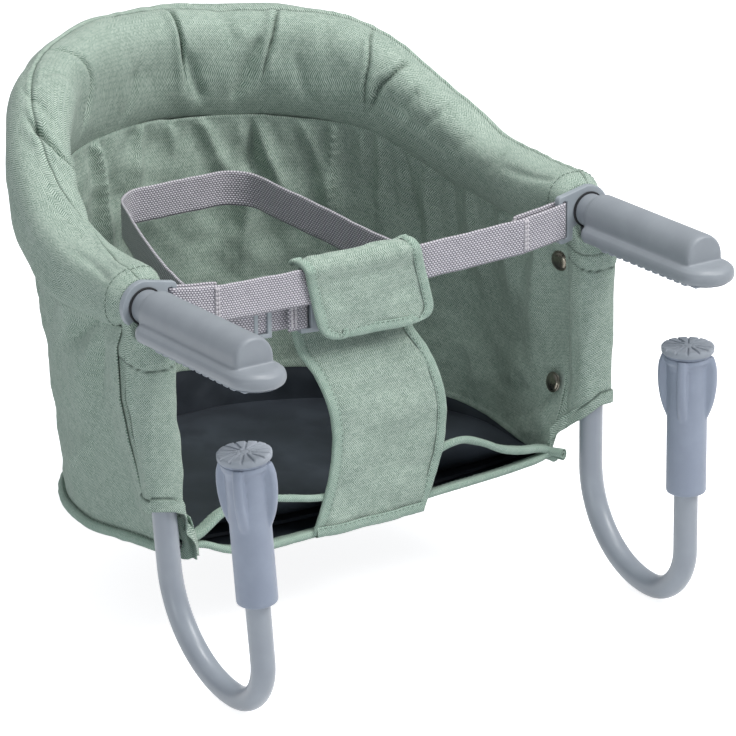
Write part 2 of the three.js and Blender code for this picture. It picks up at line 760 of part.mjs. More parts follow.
function gripArch() {
  const shape = new THREE.Shape();
  shape.moveTo(-GRIP_RADIUS, RAIL_BOTTOM + GRIP_EDGE);
  shape.lineTo(GRIP_RADIUS, RAIL_BOTTOM + GRIP_EDGE);
  shape.lineTo(GRIP_RADIUS, ARM_AXIS_HEIGHT);
  shape.absarc(0, ARM_AXIS_HEIGHT, GRIP_RADIUS, 0, Math.PI, false);
  const arch = raisedAlongY(shape, GRIP_FACE_Y, 0, GRIP_EDGE, 6);
  const position = arch.attributes.position;
  for (let i = 0; i < position.count; i++) {
    const down = ARM_AXIS_HEIGHT + GRIP_RADIUS - position.getZ(i);
    if (position.getY(i) < GRIP_FACE_Y / 2) position.setY(i, position.getY(i) - GRIP_FACE_SLOPE * down);
  }
  return arch;
}

function grip() {
  const rail = raised(railOutline(0), RAIL_BOTTOM, RAIL_TOP, RAIL_EDGE, 8);
  const collar = barAlongY(COLLAR_RADIUS, -GRIP_EDGE, COLLAR_LENGTH, 16);
  collar.translate(0, 0, ARM_AXIS_HEIGHT);
  const sides = 12;
  const boreRadius = aroundRadius(TUBE_RADIUS, GAP, sides);
  const bore = barAlongY(boreRadius, HOOP_FRONT_Y - GAP, COLLAR_LENGTH + OVERRUN, sides);
  bore.translate(0, 0, ARM_AXIS_HEIGHT);
  const notch = box(
    -BRACKET_POST_HALF_WIDTH - GAP, BRACKET_POST_HALF_WIDTH + GAP,
    BRACKET_POST_Y - GAP, BRACKET_POST_Y + BRACKET_POST_LENGTH + GAP,
    RAIL_BOTTOM - OVERRUN, ARM_AXIS_HEIGHT - TUBE_RADIUS / 2,
  );
  const body = cut(join(rail, gripArch(), collar), bore, notch);
  body.translate(ARM_X, 0, 0);
  return body;
}

function sole() {
  const shape = railOutline(SOLE_TIP_INSET);
  const pad = raised(shape, SOLE_RIB_HEIGHT, RAIL_BOTTOM - GAP, 0, 8);
  const slots = [];
  const first = RAIL_TIP_Y + SOLE_TIP_INSET + SOLE_RIB_PITCH;
  for (let y = first; y < SOLE_BACK_Y - SOLE_RIB_WIDTH; y += SOLE_RIB_PITCH) {
    const reach = Math.min(SOLE_HALF_WIDTH, Math.sqrt(SOLE_HALF_WIDTH ** 2 - Math.max(first + SOLE_HALF_WIDTH - y - SOLE_RIB_PITCH, 0) ** 2));
    slots.push(box(-reach, reach, y, y + SOLE_RIB_WIDTH, 0, SOLE_RIB_HEIGHT + GAP));
  }
  const body = join(pad, ...slots);
  body.translate(ARM_X, 0, 0);
  return body;
}

// Strap anchor: a ring round the neck that widens into a slotted strap bar

function strapAnchor() {
  const half = ANCHOR_SLOT_LENGTH / 2 + ANCHOR_RIM;
  const high = half - ANCHOR_BAR_DROP;
  const low = -half - ANCHOR_BAR_DROP;
  const corner = ANCHOR_RIM;
  const shape = new THREE.Shape();
  shape.moveTo(-ANCHOR_REACH, low + corner);
  shape.quadraticCurveTo(-ANCHOR_REACH, low, corner - ANCHOR_REACH, low);
  shape.lineTo(0, -ANCHOR_OUTER_RADIUS);
  shape.absarc(0, 0, ANCHOR_OUTER_RADIUS, -Math.PI / 2, Math.PI / 2, false);
  shape.lineTo(corner - ANCHOR_REACH, high);
  shape.quadraticCurveTo(-ANCHOR_REACH, high, -ANCHOR_REACH, high - corner);
  const front = COLLAR_LENGTH + GAP;
  const sides = 14;
  const boreRadius = aroundRadius(TUBE_RADIUS, ANCHOR_BORE_PLAY, sides);
  const bore = barAlongY(boreRadius, front - OVERRUN, ANCHOR_BACK_Y + OVERRUN, sides);
  const slotLeft = ANCHOR_BAR - ANCHOR_REACH;
  const slotLow = low + ANCHOR_RIM;
  const slot = box(
    slotLeft, slotLeft + ANCHOR_SLOT, front - OVERRUN, ANCHOR_BACK_Y + OVERRUN,
    slotLow, slotLow + ANCHOR_SLOT_LENGTH,
  );
  const body = cut(raisedAlongY(shape, front, ANCHOR_BACK_Y, 0, 7), bore, slot);
  body.translate(ARM_X, 0, ARM_AXIS_HEIGHT);
  return body;
}

// Fold bracket: a post under the hoop's tube and a yoke whose cheeks hold the rivet

function foldBracket() {
  const inside = TUBE_RADIUS + BRACKET_CHEEK_GAP;
  const outside = inside + BRACKET_SHEET;
  const yokeTop = PIVOT_Z + BRACKET_HEAD_ROOM + BRACKET_SHEET;
  const cheekShape = new THREE.Shape();
  cheekShape.moveTo(BRACKET_HALF_WIDTH, 0);
  cheekShape.lineTo(BRACKET_HALF_WIDTH, yokeTop - PIVOT_Z);
  cheekShape.lineTo(-BRACKET_HALF_WIDTH, yokeTop - PIVOT_Z);
  cheekShape.lineTo(-BRACKET_HALF_WIDTH, 0);
  cheekShape.absarc(0, 0, BRACKET_HALF_WIDTH, Math.PI, 2 * Math.PI, false);
  const yoke = raisedAlongY(cheekShape, -outside, outside, 0, 6);
  yoke.translate(0, HOOK_Y, PIVOT_Z);
  const throat = box(
    -BRACKET_HALF_WIDTH - OVERRUN, BRACKET_HALF_WIDTH + OVERRUN, HOOK_Y - inside, HOOK_Y + inside,
    PIVOT_Z - BRACKET_HALF_WIDTH - OVERRUN, PIVOT_Z + BRACKET_HEAD_ROOM,
  );
  const post = box(
    -BRACKET_POST_HALF_WIDTH, BRACKET_POST_HALF_WIDTH, BRACKET_POST_Y, BRACKET_POST_Y + BRACKET_POST_LENGTH,
    PIVOT_Z + BRACKET_HEAD_ROOM + GAP, ARM_AXIS_HEIGHT - TUBE_RADIUS / 2,
  );
  const sides = 12;
  const tube = barAlongY(aroundRadius(TUBE_RADIUS, GAP, sides), -outside, HOOK_Y + outside, sides);
  tube.translate(0, 0, ARM_AXIS_HEIGHT);
  const holeRadius = aroundRadius(RIVET_RADIUS, RIVET_PLAY, sides);
  const hole = barAlongY(holeRadius, -outside - OVERRUN, outside + OVERRUN, sides);
  hole.translate(0, HOOK_Y, PIVOT_Z);
  const body = cut(join(cut(yoke, throat), post), tube, hole);
  body.translate(ARM_X, 0, 0);
  return body;
}

function foldRivet() {
  const face = TUBE_RADIUS + BRACKET_CHEEK_GAP + BRACKET_SHEET + GAP;
  const end = face + RIVET_HEAD_HEIGHT;
  const body = join(
    barAlongY(RIVET_RADIUS, -face - RIVET_HEAD_HEIGHT / 2, face + RIVET_HEAD_HEIGHT / 2, 12),
    barAlongY(RIVET_HEAD_RADIUS, -end, -face, 12),
    barAlongY(RIVET_HEAD_RADIUS, face, end, 12),
  );
  body.translate(ARM_X, HOOK_Y, PIVOT_Z);
  return body;
}

// Hooks: a tube bent into a J, wide at the back and tighter at the front

function arcPoints(centreY, centreZ, radius, from, to, steps) {
  const points = [];
  for (let i = 0; i <= steps; i++) {
    const angle = between(from, to, i / steps);
    points.push(new THREE.Vector3(ARM_X, centreY + radius * Math.cos(angle), centreZ + radius * Math.sin(angle)));
  }
  return points;
}

function hookTube() {
  const centreY = HOOK_Y - HOOK_REAR_BEND;
  const frontCentreZ = HOOK_BEND_START_Z - HOOK_REAR_BEND + HOOK_FRONT_BEND;
  const route = [
    new THREE.Vector3(ARM_X, HOOK_Y, PIVOT_Z + HOOK_TOP_LENGTH),
    ...arcPoints(centreY, HOOK_BEND_START_Z, HOOK_REAR_BEND, 0, -Math.PI / 2, 7),
    ...arcPoints(centreY, frontCentreZ, HOOK_FRONT_BEND, -Math.PI / 2, -Math.PI, 5).slice(1),
    new THREE.Vector3(ARM_X, CLAMP_Y, HOOK_END_Z),
  ];
  const wall = circle(TUBE_RADIUS, 10, { radius: TUBE_RADIUS - TUBE_WALL, sides: 8 });
  const sides = 12;
  const hole = barAlongY(aroundRadius(RIVET_RADIUS, RIVET_PLAY, sides), -2 * TUBE_RADIUS, 2 * TUBE_RADIUS, sides);
  hole.translate(ARM_X, HOOK_Y, PIVOT_Z);
  return cut(alongRoute(route, wall), hole);
}

// Clamp pieces, each round its own axis and moved to the hook afterwards

function onClampAxis(geometry) {
  geometry.translate(ARM_X, CLAMP_Y, 0);
  return geometry;
}

const DISC_TOP = -TABLE_GAP;
const DISC_FOOT = DISC_TOP - DISC_THICKNESS;
const PLUG_TOP = DISC_FOOT - GAP;
const PLUG_FOOT = PLUG_TOP - PLUG_THICKNESS;
const STEM_FOOT = PLUG_FOOT - PLUG_STEM_LENGTH;
const KNOB_TOP = PLUG_FOOT - GAP;
const KNOB_FOOT = KNOB_TOP - KNOB_LENGTH;
const NUT_TOP = KNOB_FOOT + KNOB_BORE_DEPTH - GAP;
const SCREW_TOP = STEM_FOOT - CLAMP_DOWN - GAP;

function clampDisc() {
  const body = bar(DISC_RADIUS, DISC_FOOT, DISC_TOP, 28);
  const grooves = [];
  for (let i = 0; i < DISC_GROOVES; i++) {
    const start = DISC_HUB_RADIUS + (i % 2) * DISC_HUB_RADIUS / 2;
    const groove = box(
      start, DISC_RADIUS + OVERRUN, -DISC_GROOVE_WIDTH / 2, DISC_GROOVE_WIDTH / 2,
      DISC_TOP - DISC_GROOVE_DEPTH, DISC_TOP + OVERRUN,
    );
    groove.rotateZ(2 * Math.PI * i / DISC_GROOVES);
    grooves.push(groove);
  }
  return onClampAxis(cut(body, ...grooves));
}

function discPlug() {
  return onClampAxis(join(
    bar(PLUG_RADIUS, PLUG_FOOT, PLUG_TOP, 20),
    bar(PLUG_STEM_RADIUS, STEM_FOOT, PLUG_FOOT + PLUG_THICKNESS / 2, 12),
  ));
}

// A wing of the knob: level slices whose reach swells from the barrel to its full width
function knobWing() {
  const low = KNOB_TOP - WING_LENGTH;
  const inner = KNOB_RADIUS - 2 * WING_EDGE;
  const reaches = [[0, -0.2], [0.16, 0.32], [0.36, 0.77], [0.58, 0.98], [0.76, 1], [1, 0.62]];
  return loft(reaches.map(([up, share]) => {
    const z = between(low, KNOB_TOP, up);
    const outer = between(KNOB_RADIUS, WING_RADIUS, share);
    const half = WING_THICKNESS / 2;
    return [
      new THREE.Vector3(inner, -half, z),
      new THREE.Vector3(outer - WING_EDGE, -half, z),
      new THREE.Vector3(outer, WING_EDGE - half, z),
      new THREE.Vector3(outer, half - WING_EDGE, z),
      new THREE.Vector3(outer - WING_EDGE, half, z),
      new THREE.Vector3(inner, half, z),
    ];
  }));
}

function clampKnob() {
  const profile = [
    new THREE.Vector2(0, KNOB_FOOT),
    new THREE.Vector2(KNOB_RADIUS - KNOB_EDGE, KNOB_FOOT),
    new THREE.Vector2(KNOB_RADIUS, KNOB_FOOT + KNOB_EDGE),
    new THREE.Vector2(KNOB_RADIUS, KNOB_TOP - 2 * KNOB_TOP_LENGTH),
    new THREE.Vector2(KNOB_TOP_RADIUS, KNOB_TOP - KNOB_TOP_LENGTH),
    new THREE.Vector2(KNOB_TOP_RADIUS, KNOB_TOP),
    new THREE.Vector2(0, KNOB_TOP),
  ];
  const barrel = new THREE.LatheGeometry(profile, 18);
  barrel.rotateX(Math.PI / 2);
  const wings = [];
  for (let i = 0; i < WING_COUNT; i++) {
    const wing = knobWing();
    wing.rotateZ(2 * Math.PI * i / WING_COUNT + THREE.MathUtils.degToRad(WING_TURN));
    wings.push(wing);
  }
  const sides = 14;
  const tubeBore = bar(aroundRadius(TUBE_RADIUS, KNOB_BORE_PLAY, sides), KNOB_FOOT - OVERRUN, KNOB_FOOT + KNOB_BORE_DEPTH, sides);
  const screwBore = bar(KNOB_SCREW_BORE_RADIUS, NUT_TOP, KNOB_TOP + OVERRUN, 10);
  const stemSides = 12;
  const stemRadius = aroundRadius(PLUG_STEM_RADIUS, GAP, stemSides);
  const stemBore = bar(stemRadius, STEM_FOOT - GAP, KNOB_TOP + OVERRUN, stemSides);
  return onClampAxis(cut(join(barrel, ...wings), tubeBore, screwBore, stemBore));
}

function knobNut() {
  const sides = 10;
  const hole = bar(aroundRadius(SCREW_RADIUS, SCREW_PLAY, sides), NUT_TOP - NUT_HEIGHT - OVERRUN, NUT_TOP + OVERRUN, sides);
  return onClampAxis(cut(bar(NUT_RADIUS, NUT_TOP - NUT_HEIGHT, NUT_TOP, 6), hole));
}

function clampScrew() {
  return onClampAxis(bar(SCREW_RADIUS, HOOK_END_Z - SCREW_FOOT, SCREW_TOP, 10));
}

function threadInsert() {
  const shank = bar(
    TUBE_RADIUS - TUBE_WALL - 2 * GAP, HOOK_END_Z - INSERT_LENGTH, HOOK_END_Z + INSERT_FLANGE_HEIGHT / 2, 10,
  );
  const flange = bar(INSERT_FLANGE_RADIUS, HOOK_END_Z + GAP, HOOK_END_Z + INSERT_FLANGE_HEIGHT, 14);
  const sides = 10;
  const holeRadius = aroundRadius(SCREW_RADIUS, SCREW_PLAY, sides);
  const hole = bar(holeRadius, HOOK_END_Z - INSERT_LENGTH - OVERRUN, HOOK_END_Z + INSERT_FLANGE_HEIGHT + OVERRUN, sides);
  return onClampAxis(cut(join(shank, flange), hole));
}

// Press snaps, lying on the inner face of a side panel

function pressSnap(y, z, side) {
  const step = 1 / (WALL_STEPS * WALL_STEPS);
  let round = side > 0 ? 1 : 0;
  while (onLine(wallTopPlan, round).y < y) round -= side * step;
  const spot = (share, up) => wallPoint(share, up, 0, false);
  const foot = spot(round, 0);
  const middle = spot(round, 0.5);
  const up = (z - foot.z) / (middle.z - foot.z) / 2;
  const seat = spot(round, up);
  const rise = spot(round, up + step).sub(spot(round, up - step));
  const run = spot(round - step, up).sub(spot(round + step, up));
  const normal = new THREE.Vector3().crossVectors(rise, run).normalize();
  if (normal.x * side > 0) normal.negate();
  const profile = [
    new THREE.Vector2(0, 0),
    new THREE.Vector2(SNAP_RADIUS, 0),
    new THREE.Vector2(SNAP_RADIUS, SNAP_RIM),
    new THREE.Vector2(SNAP_CROWN_RADIUS, SNAP_SHOULDER),
    new THREE.Vector2(0, SNAP_HEIGHT),
  ];
  const cap = new THREE.LatheGeometry(profile, 16);
  cap.applyQuaternion(new THREE.Quaternion().setFromUnitVectors(new THREE.Vector3(0, 1, 0), normal));
  const place = seat.addScaledVector(normal, SNAP_PLAY);
  cap.translate(place.x, place.y, place.z);
  return toGeometry(toManifold(cap));
}

// Straps

// A strap through the given points, its width upright and its thickness in plan
function ribbon(points, width) {
  const half = WEBBING_THICKNESS / 2;
  const rings = points.map((point, i) => {
    const before = points[Math.max(i - 1, 0)];
    const after = points[Math.min(i + 1, points.length - 1)];
    const arriving = new THREE.Vector2(point.x - before.x, point.y - before.y).normalize();
    const leaving = new THREE.Vector2(after.x - point.x, after.y - point.y).normalize();
    const along = arriving.clone().add(leaving).normalize();
    const kept = arriving.lengthSq() && leaving.lengthSq() ? along.dot(leaving) : 1;
    const reach = half / kept;
    const corner = (side, level) => new THREE.Vector3(
      point.x - side * along.y * reach, point.y + side * along.x * reach, point.z + level * width / 2,
    );
    return [corner(1, 1), corner(-1, 1), corner(-1, -1), corner(1, -1)];
  });
  return loft(rings);
}

const TURN_FULLNESS = 0.75;

// The turn of a strap round an upright bar, from its front over to its back; side is 1 at the right
function barTurn(centreX, centreY, z, halfBar, halfDepth, side) {
  const reachX = halfBar + GAP + WEBBING_THICKNESS;
  const reachY = halfDepth + 2 * GAP + WEBBING_THICKNESS / 2;
  const points = [];
  const steps = 6;
  for (let i = 0; i <= steps; i++) {
    const angle = between(-Math.PI / 2, Math.PI / 2, i / steps);
    const [c, s] = [Math.max(Math.cos(angle), 0), Math.sin(angle)];
    const x = centreX + side * reachX * Math.pow(c, TURN_FULLNESS);
    const y = centreY + reachY * Math.sign(s) * Math.pow(Math.abs(s), TURN_FULLNESS);
    points.push(new THREE.Vector3(x, y, z));
  }
  return points;
}

function frontWebbing() {
  const barX = ARM_X - ANCHOR_REACH + ANCHOR_BAR / 2;
  const barY = ANCHOR_BACK_Y - ANCHOR_THICKNESS / 2;
  const turn = barTurn(barX, barY, 0, ANCHOR_BAR / 2, ANCHOR_THICKNESS / 2, 1);
  const foldX = barX - WEBBING_FOLD_LENGTH;
  const tail = new THREE.Vector3(foldX, turn[turn.length - 1].y + GAP, 0);
  const front = turn[0].y;
  const straight = [0.25, 0.5, 0.75, 1].map((share) => new THREE.Vector3(
    foldX * share, between(WEBBING_Y, front, share * share), 0,
  ));
  const half = [...straight, ...turn, tail];
  const other = half.map((p) => new THREE.Vector3(-p.x, p.y, p.z)).reverse();
  const route = [...other, new THREE.Vector3(0, WEBBING_Y, 0), ...half];
  const strap = ribbon(route, WEBBING_WIDTH);
  const position = strap.attributes.position;
  for (let i = 0; i < position.count; i++) {
    const share = Math.min(Math.abs(position.getX(i)) / barX, 1);
    position.setZ(i, position.getZ(i) + WEBBING_Z - WEBBING_SAG * (1 - share * share));
  }
  return strap;
}

// The lap belt runs free round the inside of the seat: places in plan as shares of the floor's
// half width and depth, heights as shares of the webbing's width above the buckle
const LAP_ROUTE_SHARES = [
  [-0.60, 0.17, 0.05], [-0.67, 0.26, 0.2], [-0.66, 0.38, 0.4], [-0.6, 0.56, 0.68], [-0.51, 0.74, 0.88],
  [-0.43, 0.86, 0.98], [-0.36, 0.895, 1], [-0.2, 0.905, 1], [0, 0.905, 1], [0.13, 0.9, 1],
  [0.2, 0.87, 0.96], [0.26, 0.74, 0.76], [0.32, 0.56, 0.48], [0.36, 0.4, 0.24], [0.395, 0.26, 0.1],
  [0.395, 0.195, 0.03], [0.365, 0.15, 0],
];

function lapBelt() {
  const depth = FLOOR_BACK_Y;
  const loop = LAP_ROUTE_SHARES.map(([x, y, z]) => new THREE.Vector3(
    FLOOR_HALF_WIDTH * x, depth * y, LAP_FRONT_Z + WEBBING_WIDTH * z,
  ));
  const [halfBar, halfDepth] = [BUCKLE_BAR / 2, BUCKLE_BAR / 2];
  const leftBar = BUCKLE_LEFT_X + halfBar;
  const rightBar = tongueEnd() - halfBar;
  const left = barTurn(leftBar, LAP_FRONT_Y, LAP_FRONT_Z, halfBar, halfDepth, 1);
  const right = barTurn(rightBar, LAP_FRONT_Y, LAP_FRONT_Z, halfBar, halfDepth, -1);
  const tail = (barX, side) => new THREE.Vector3(
    barX + side * WEBBING_WIDTH / 2, left[0].y - GAP, LAP_FRONT_Z,
  );
  const lead = (barX, side) => new THREE.Vector3(
    barX + side * WEBBING_WIDTH / 2, left[left.length - 1].y + GAP, LAP_FRONT_Z,
  );
  const route = [
    tail(leftBar, -1), ...left, lead(leftBar, -1), ...loop,
    lead(rightBar, 1), ...right.reverse(), tail(rightBar, 1),
  ];
  return ribbon(route, WEBBING_WIDTH);
}

// Buckle of the lap belt: a socket with an open jaw, and a tongue whose prongs lie in it

function tongueEnd() {
  return BUCKLE_LEFT_X + BUCKLE_LENGTH + GAP + TONGUE_LENGTH;
}

function buckleFrame(x0, x1, slotX) {
  const halfHeight = WEBBING_WIDTH / 2 + BUCKLE_RIM;
  const halfDepth = BUCKLE_THICKNESS / 2;
  const shape = new THREE.Shape([
    new THREE.Vector2(x0, -halfDepth / 2),
    new THREE.Vector2(x0, halfDepth / 2),
    new THREE.Vector2(between(x0, x1, 0.3), halfDepth),
    new THREE.Vector2(between(x0, x1, 0.7), halfDepth),
    new THREE.Vector2(x1, halfDepth / 2),
    new THREE.Vector2(x1, -halfDepth / 2),
    new THREE.Vector2(between(x0, x1, 0.7), -halfDepth),
    new THREE.Vector2(between(x0, x1, 0.3), -halfDepth),
  ].reverse());
  const body = raised(shape, -halfHeight, halfHeight, 1);
  const slotHalfHeight = WEBBING_WIDTH / 2 + GAP;
  const slot = box(slotX, slotX + BUCKLE_SLOT, -BUCKLE_THICKNESS, BUCKLE_THICKNESS, -slotHalfHeight, slotHalfHeight);
  const low = Math.min(slotX, x0) - OVERRUN;
  const high = Math.max(slotX + BUCKLE_SLOT, low);
  const ends = slotX < (x0 + x1) / 2 ? [low, slotX + GAP] : [slotX + BUCKLE_SLOT - GAP, x1 + OVERRUN];
  const thinFrom = BUCKLE_BAR / 2;
  const front = box(ends[0], ends[1], -BUCKLE_THICKNESS, -thinFrom, -slotHalfHeight, slotHalfHeight);
  const back = box(ends[0], ends[1], thinFrom, BUCKLE_THICKNESS, -slotHalfHeight, slotHalfHeight);
  return high > low ? cut(body, slot, front, back) : body;
}

function atBuckle(geometry) {
  geometry.translate(0, LAP_FRONT_Y, LAP_FRONT_Z);
  return geometry;
}

function buckleSocket() {
  const right = BUCKLE_LEFT_X + BUCKLE_LENGTH;
  const halfHeight = WEBBING_WIDTH / 2;
  const frame = buckleFrame(BUCKLE_LEFT_X, right, BUCKLE_LEFT_X + BUCKLE_BAR);
  const halfJaw = BUCKLE_JAW_HEIGHT / 2;
  const jaw = box(right - BUCKLE_JAW_DEPTH, right + OVERRUN, -halfJaw, halfJaw, -halfHeight, halfHeight);
  return atBuckle(cut(frame, jaw));
}

function buckleTongue() {
  const left = BUCKLE_LEFT_X + BUCKLE_LENGTH + GAP;
  const frame = buckleFrame(left, tongueEnd(), tongueEnd() - BUCKLE_BAR - BUCKLE_SLOT);
  const halfProng = BUCKLE_JAW_HEIGHT / 2 - GAP;
  const reach = left - BUCKLE_JAW_DEPTH + 2 * GAP;
  const root = left + PRONG_WIDTH;
  const top = WEBBING_WIDTH / 2 - GAP;
  const prongs = [-top, -PRONG_WIDTH / 2, top - PRONG_WIDTH].map(
    (z) => box(reach, root, -halfProng, halfProng, z, z + PRONG_WIDTH),
  );
  return atBuckle(join(frame, ...prongs));
}

function beltAdjuster() {
  const halfHeight = WEBBING_WIDTH / 2 + ADJUSTER_RIM;
  const halfLength = ADJUSTER_LENGTH / 2;
  const frame = box(-halfLength, halfLength, -ADJUSTER_THICKNESS, 0, -halfHeight, halfHeight);
  const window = box(
    ADJUSTER_RIM - halfLength, halfLength - ADJUSTER_RIM, -ADJUSTER_THICKNESS - OVERRUN, OVERRUN,
    ADJUSTER_RIM - halfHeight, halfHeight - ADJUSTER_RIM,
  );
  const body = cut(frame, window);
  const [x, y] = LAP_ROUTE_SHARES[0];
  const from = new THREE.Vector2(BUCKLE_LEFT_X - WEBBING_WIDTH / 2 + BUCKLE_BAR, LAP_FRONT_Y + BUCKLE_BAR);
  const to = new THREE.Vector2(FLOOR_HALF_WIDTH * x, FLOOR_BACK_Y * y);
  const share = (ADJUSTER_X - from.x) / (to.x - from.x);
  const spot = from.clone().lerp(to, share);
  body.translate(0, -WEBBING_THICKNESS / 2 - 2 * GAP, 0);
  body.rotateZ(Math.atan2(to.y - from.y, to.x - from.x) + Math.PI);
  body.translate(spot.x, spot.y, LAP_FRONT_Z);
  return body;
}

// Crotch strap: from the floor's front edge, behind the belt and webbing, up to the fold of its flap

function strapSheet(line, halfWidths, lean, rows) {
  const curve = new THREE.CatmullRomCurve3(line.map(([y, z]) => new THREE.Vector3(0, y, z)));
  const face = (side) => (i, j) => {
    const point = curve.getPoint(j);
    const along = curve.getTangent(j);
    const half = halfWidths(j);
    const x = between(-half, half, i) + lean(j);
    return new THREE.Vector3(
      x, point.y + side * along.z * CLOTH_THICKNESS / 2, point.z - side * along.y * CLOTH_THICKNESS / 2,
    );
  };
  return slab(face(1), face(-1), 6, rows);
}

function crotchStrap() {
  const behindBuckle = LAP_FRONT_Y + BUCKLE_THICKNESS / 2 + CLOTH_THICKNESS / 2 + GAP;
  const buckleTop = LAP_FRONT_Z + WEBBING_WIDTH / 2 + BUCKLE_RIM;
  const buckleFoot = LAP_FRONT_Z - WEBBING_WIDTH / 2 - BUCKLE_RIM;
  const front = FLOOR_FRONT_Y - GAP - CLOTH_THICKNESS / 2;
  const belly = front - CROTCH_BELLY;
  const height = buckleFoot - CROTCH_BOTTOM_Z;
  const line = [
    [front, CROTCH_BOTTOM_Z],
    [front - CROTCH_BELLY / 3, CROTCH_BOTTOM_Z + height / 6],
    [belly, between(CROTCH_BOTTOM_Z, buckleFoot, 0.4)],
    [belly, between(CROTCH_BOTTOM_Z, buckleFoot, 0.62)],
    [between(belly, behindBuckle, 0.25), between(CROTCH_BOTTOM_Z, buckleFoot, 0.8)],
    [behindBuckle, buckleFoot - CLOTH_THICKNESS / 2],
    [behindBuckle + GAP, LAP_FRONT_Z],
    [behindBuckle, buckleTop + CLOTH_THICKNESS / 2],
    [between(behindBuckle, flapBackY(), 0.5), between(buckleTop, flapTopZ(), 0.5)],
    [flapBackY(), flapTopZ() - CLOTH_THICKNESS],
  ];
  const halfWidth = (j) => CROTCH_HALF_WIDTH + CROTCH_SWELL * Math.sin(Math.PI * j);
  const lean = (j) => CROTCH_LEAN * Math.sin(Math.PI * Math.min(j * CROTCH_LEAN_PEAK, 1));
  return strapSheet(line, halfWidth, lean, 16);
}

function flapTopZ() {
  return WEBBING_Z - WEBBING_SAG + WEBBING_WIDTH / 2 + FLAP_PLAY + CLOTH_THICKNESS;
}

function flapBackY() {
  return WEBBING_Y + WEBBING_THICKNESS + 2 * CLOTH_THICKNESS;
}

function crotchFlap() {
  const front = WEBBING_Y - WEBBING_THICKNESS / 2 - FLAP_PLAY - CLOTH_THICKNESS / 2;
  const top = flapTopZ();
  const line = [
    [flapBackY(), top - CLOTH_THICKNESS / 2],
    [between(front, flapBackY(), 0.75), top],
    [between(front, flapBackY(), 0.3), top],
    [front, top - CLOTH_THICKNESS],
    [front, WEBBING_Z - WEBBING_SAG],
    [front, WEBBING_Z - WEBBING_SAG - WEBBING_WIDTH / 2],
    [front + GAP, LAP_FRONT_Z - WEBBING_WIDTH / 2 - 2 * BUCKLE_RIM],
  ];
  return strapSheet(line, () => CROTCH_HALF_WIDTH + FLAP_OVERHANG, (j) => FLAP_LEAN * (2 * j - 1), 14);
}

// Assembly

const chair = new THREE.Group();

function add(name, geometry, material) {
  const mesh = new THREE.Mesh(geometry, material);
  mesh.name = name;
  chair.add(mesh);
}

function mirrored(geometry) {
  const copy = geometry.index ? geometry.clone() : mergeVertices(geometry.clone());
  copy.scale(-1, 1, 1);
  return flipped(copy);
}

// The same piece on both sides; one that isn't mirrored is moved across instead
function addPair(name, geometry, material, mirror = true) {
  add(`right_${name}`, geometry, material);
  add(`left_${name}`, mirror ? mirrored(geometry) : geometry.clone().translate(-ARM_SPACING, 0, 0), material);
}

// A pair of pieces that swing with the hooks; the left one hangs a little inwards
function addHookPair(name, geometry, material, mirror = true) {
  addPair(name, geometry, material, mirror);
  const left = chair.children[chair.children.length - 1].geometry;
  left.translate(ARM_X, 0, -PIVOT_Z);
  left.rotateY(-THREE.MathUtils.degToRad(LEFT_HOOK_SWING));
  left.translate(-ARM_X, 0, PIVOT_Z);
}

add('hoop_tube', hoopTube(), paintedTube);
add('padded_roll', paddedRoll(), fabric);
addPair('grip', grip(), gripPlastic);
addPair('grip_sole', sole(), rubber);
addPair('strap_anchor', strapAnchor(), palePlastic);
addPair('fold_bracket', foldBracket(), steel);
addPair('fold_rivet', foldRivet(), steel);
addHookPair('hook_tube', hookTube(), paintedTube);
addHookPair('clamp_disc', clampDisc(), rubber, false);
addHookPair('disc_plug', discPlug(), knobPlastic, false);
addHookPair('clamp_knob', clampKnob(), knobPlastic, false);
addHookPair('knob_nut', knobNut(), steel, false);
addHookPair('clamp_screw', clampScrew(), steel, false);
addHookPair('thread_insert', threadInsert(), palePlastic, false);
add('right_side_panel', rightPanel(), fabric);
add('left_side_panel', leftPanel(), fabric);
add('back_panel', backPanel(), fabric);
addHookPair('hook_pocket', pocket(POCKET_HEM_Z, POCKET_SPLIT_Z - GAP / 2), fabric);
addHookPair('pocket_top', pocket(POCKET_SPLIT_Z + GAP / 2, POCKET_TOP_Z), fabric);
add('floor_upper_layer', upperFloor(), floorCloth);
add('floor_lower_layer', lowerFloor(), floorCloth);
add('seat_board', seatBoard(), floorCloth);
add('bottom_piping', bottomPiping(), fabric);
for (const [word, side] of [['left', -1], ['right', 1]]) {
  add(`${word}_upper_snap`, pressSnap(UPPER_SNAP_Y, UPPER_SNAP_Z, side), snapMetal);
  add(`${word}_lower_snap`, pressSnap(LOWER_SNAP_Y, LOWER_SNAP_Z, side), snapMetal);
}
add('front_webbing', frontWebbing(), webbing);
add('lap_belt', lapBelt(), webbing);
add('buckle_socket', buckleSocket(), palePlastic);
add('buckle_tongue', buckleTongue(), palePlastic);
add('belt_adjuster', beltAdjuster(), palePlastic);
add('crotch_strap', crotchStrap(), fabric);
add('crotch_flap', crotchFlap(), fabric);

export default chair;
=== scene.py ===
import math

import bmesh
import bpy
import numpy as np
from mathutils import Matrix, Vector, noise


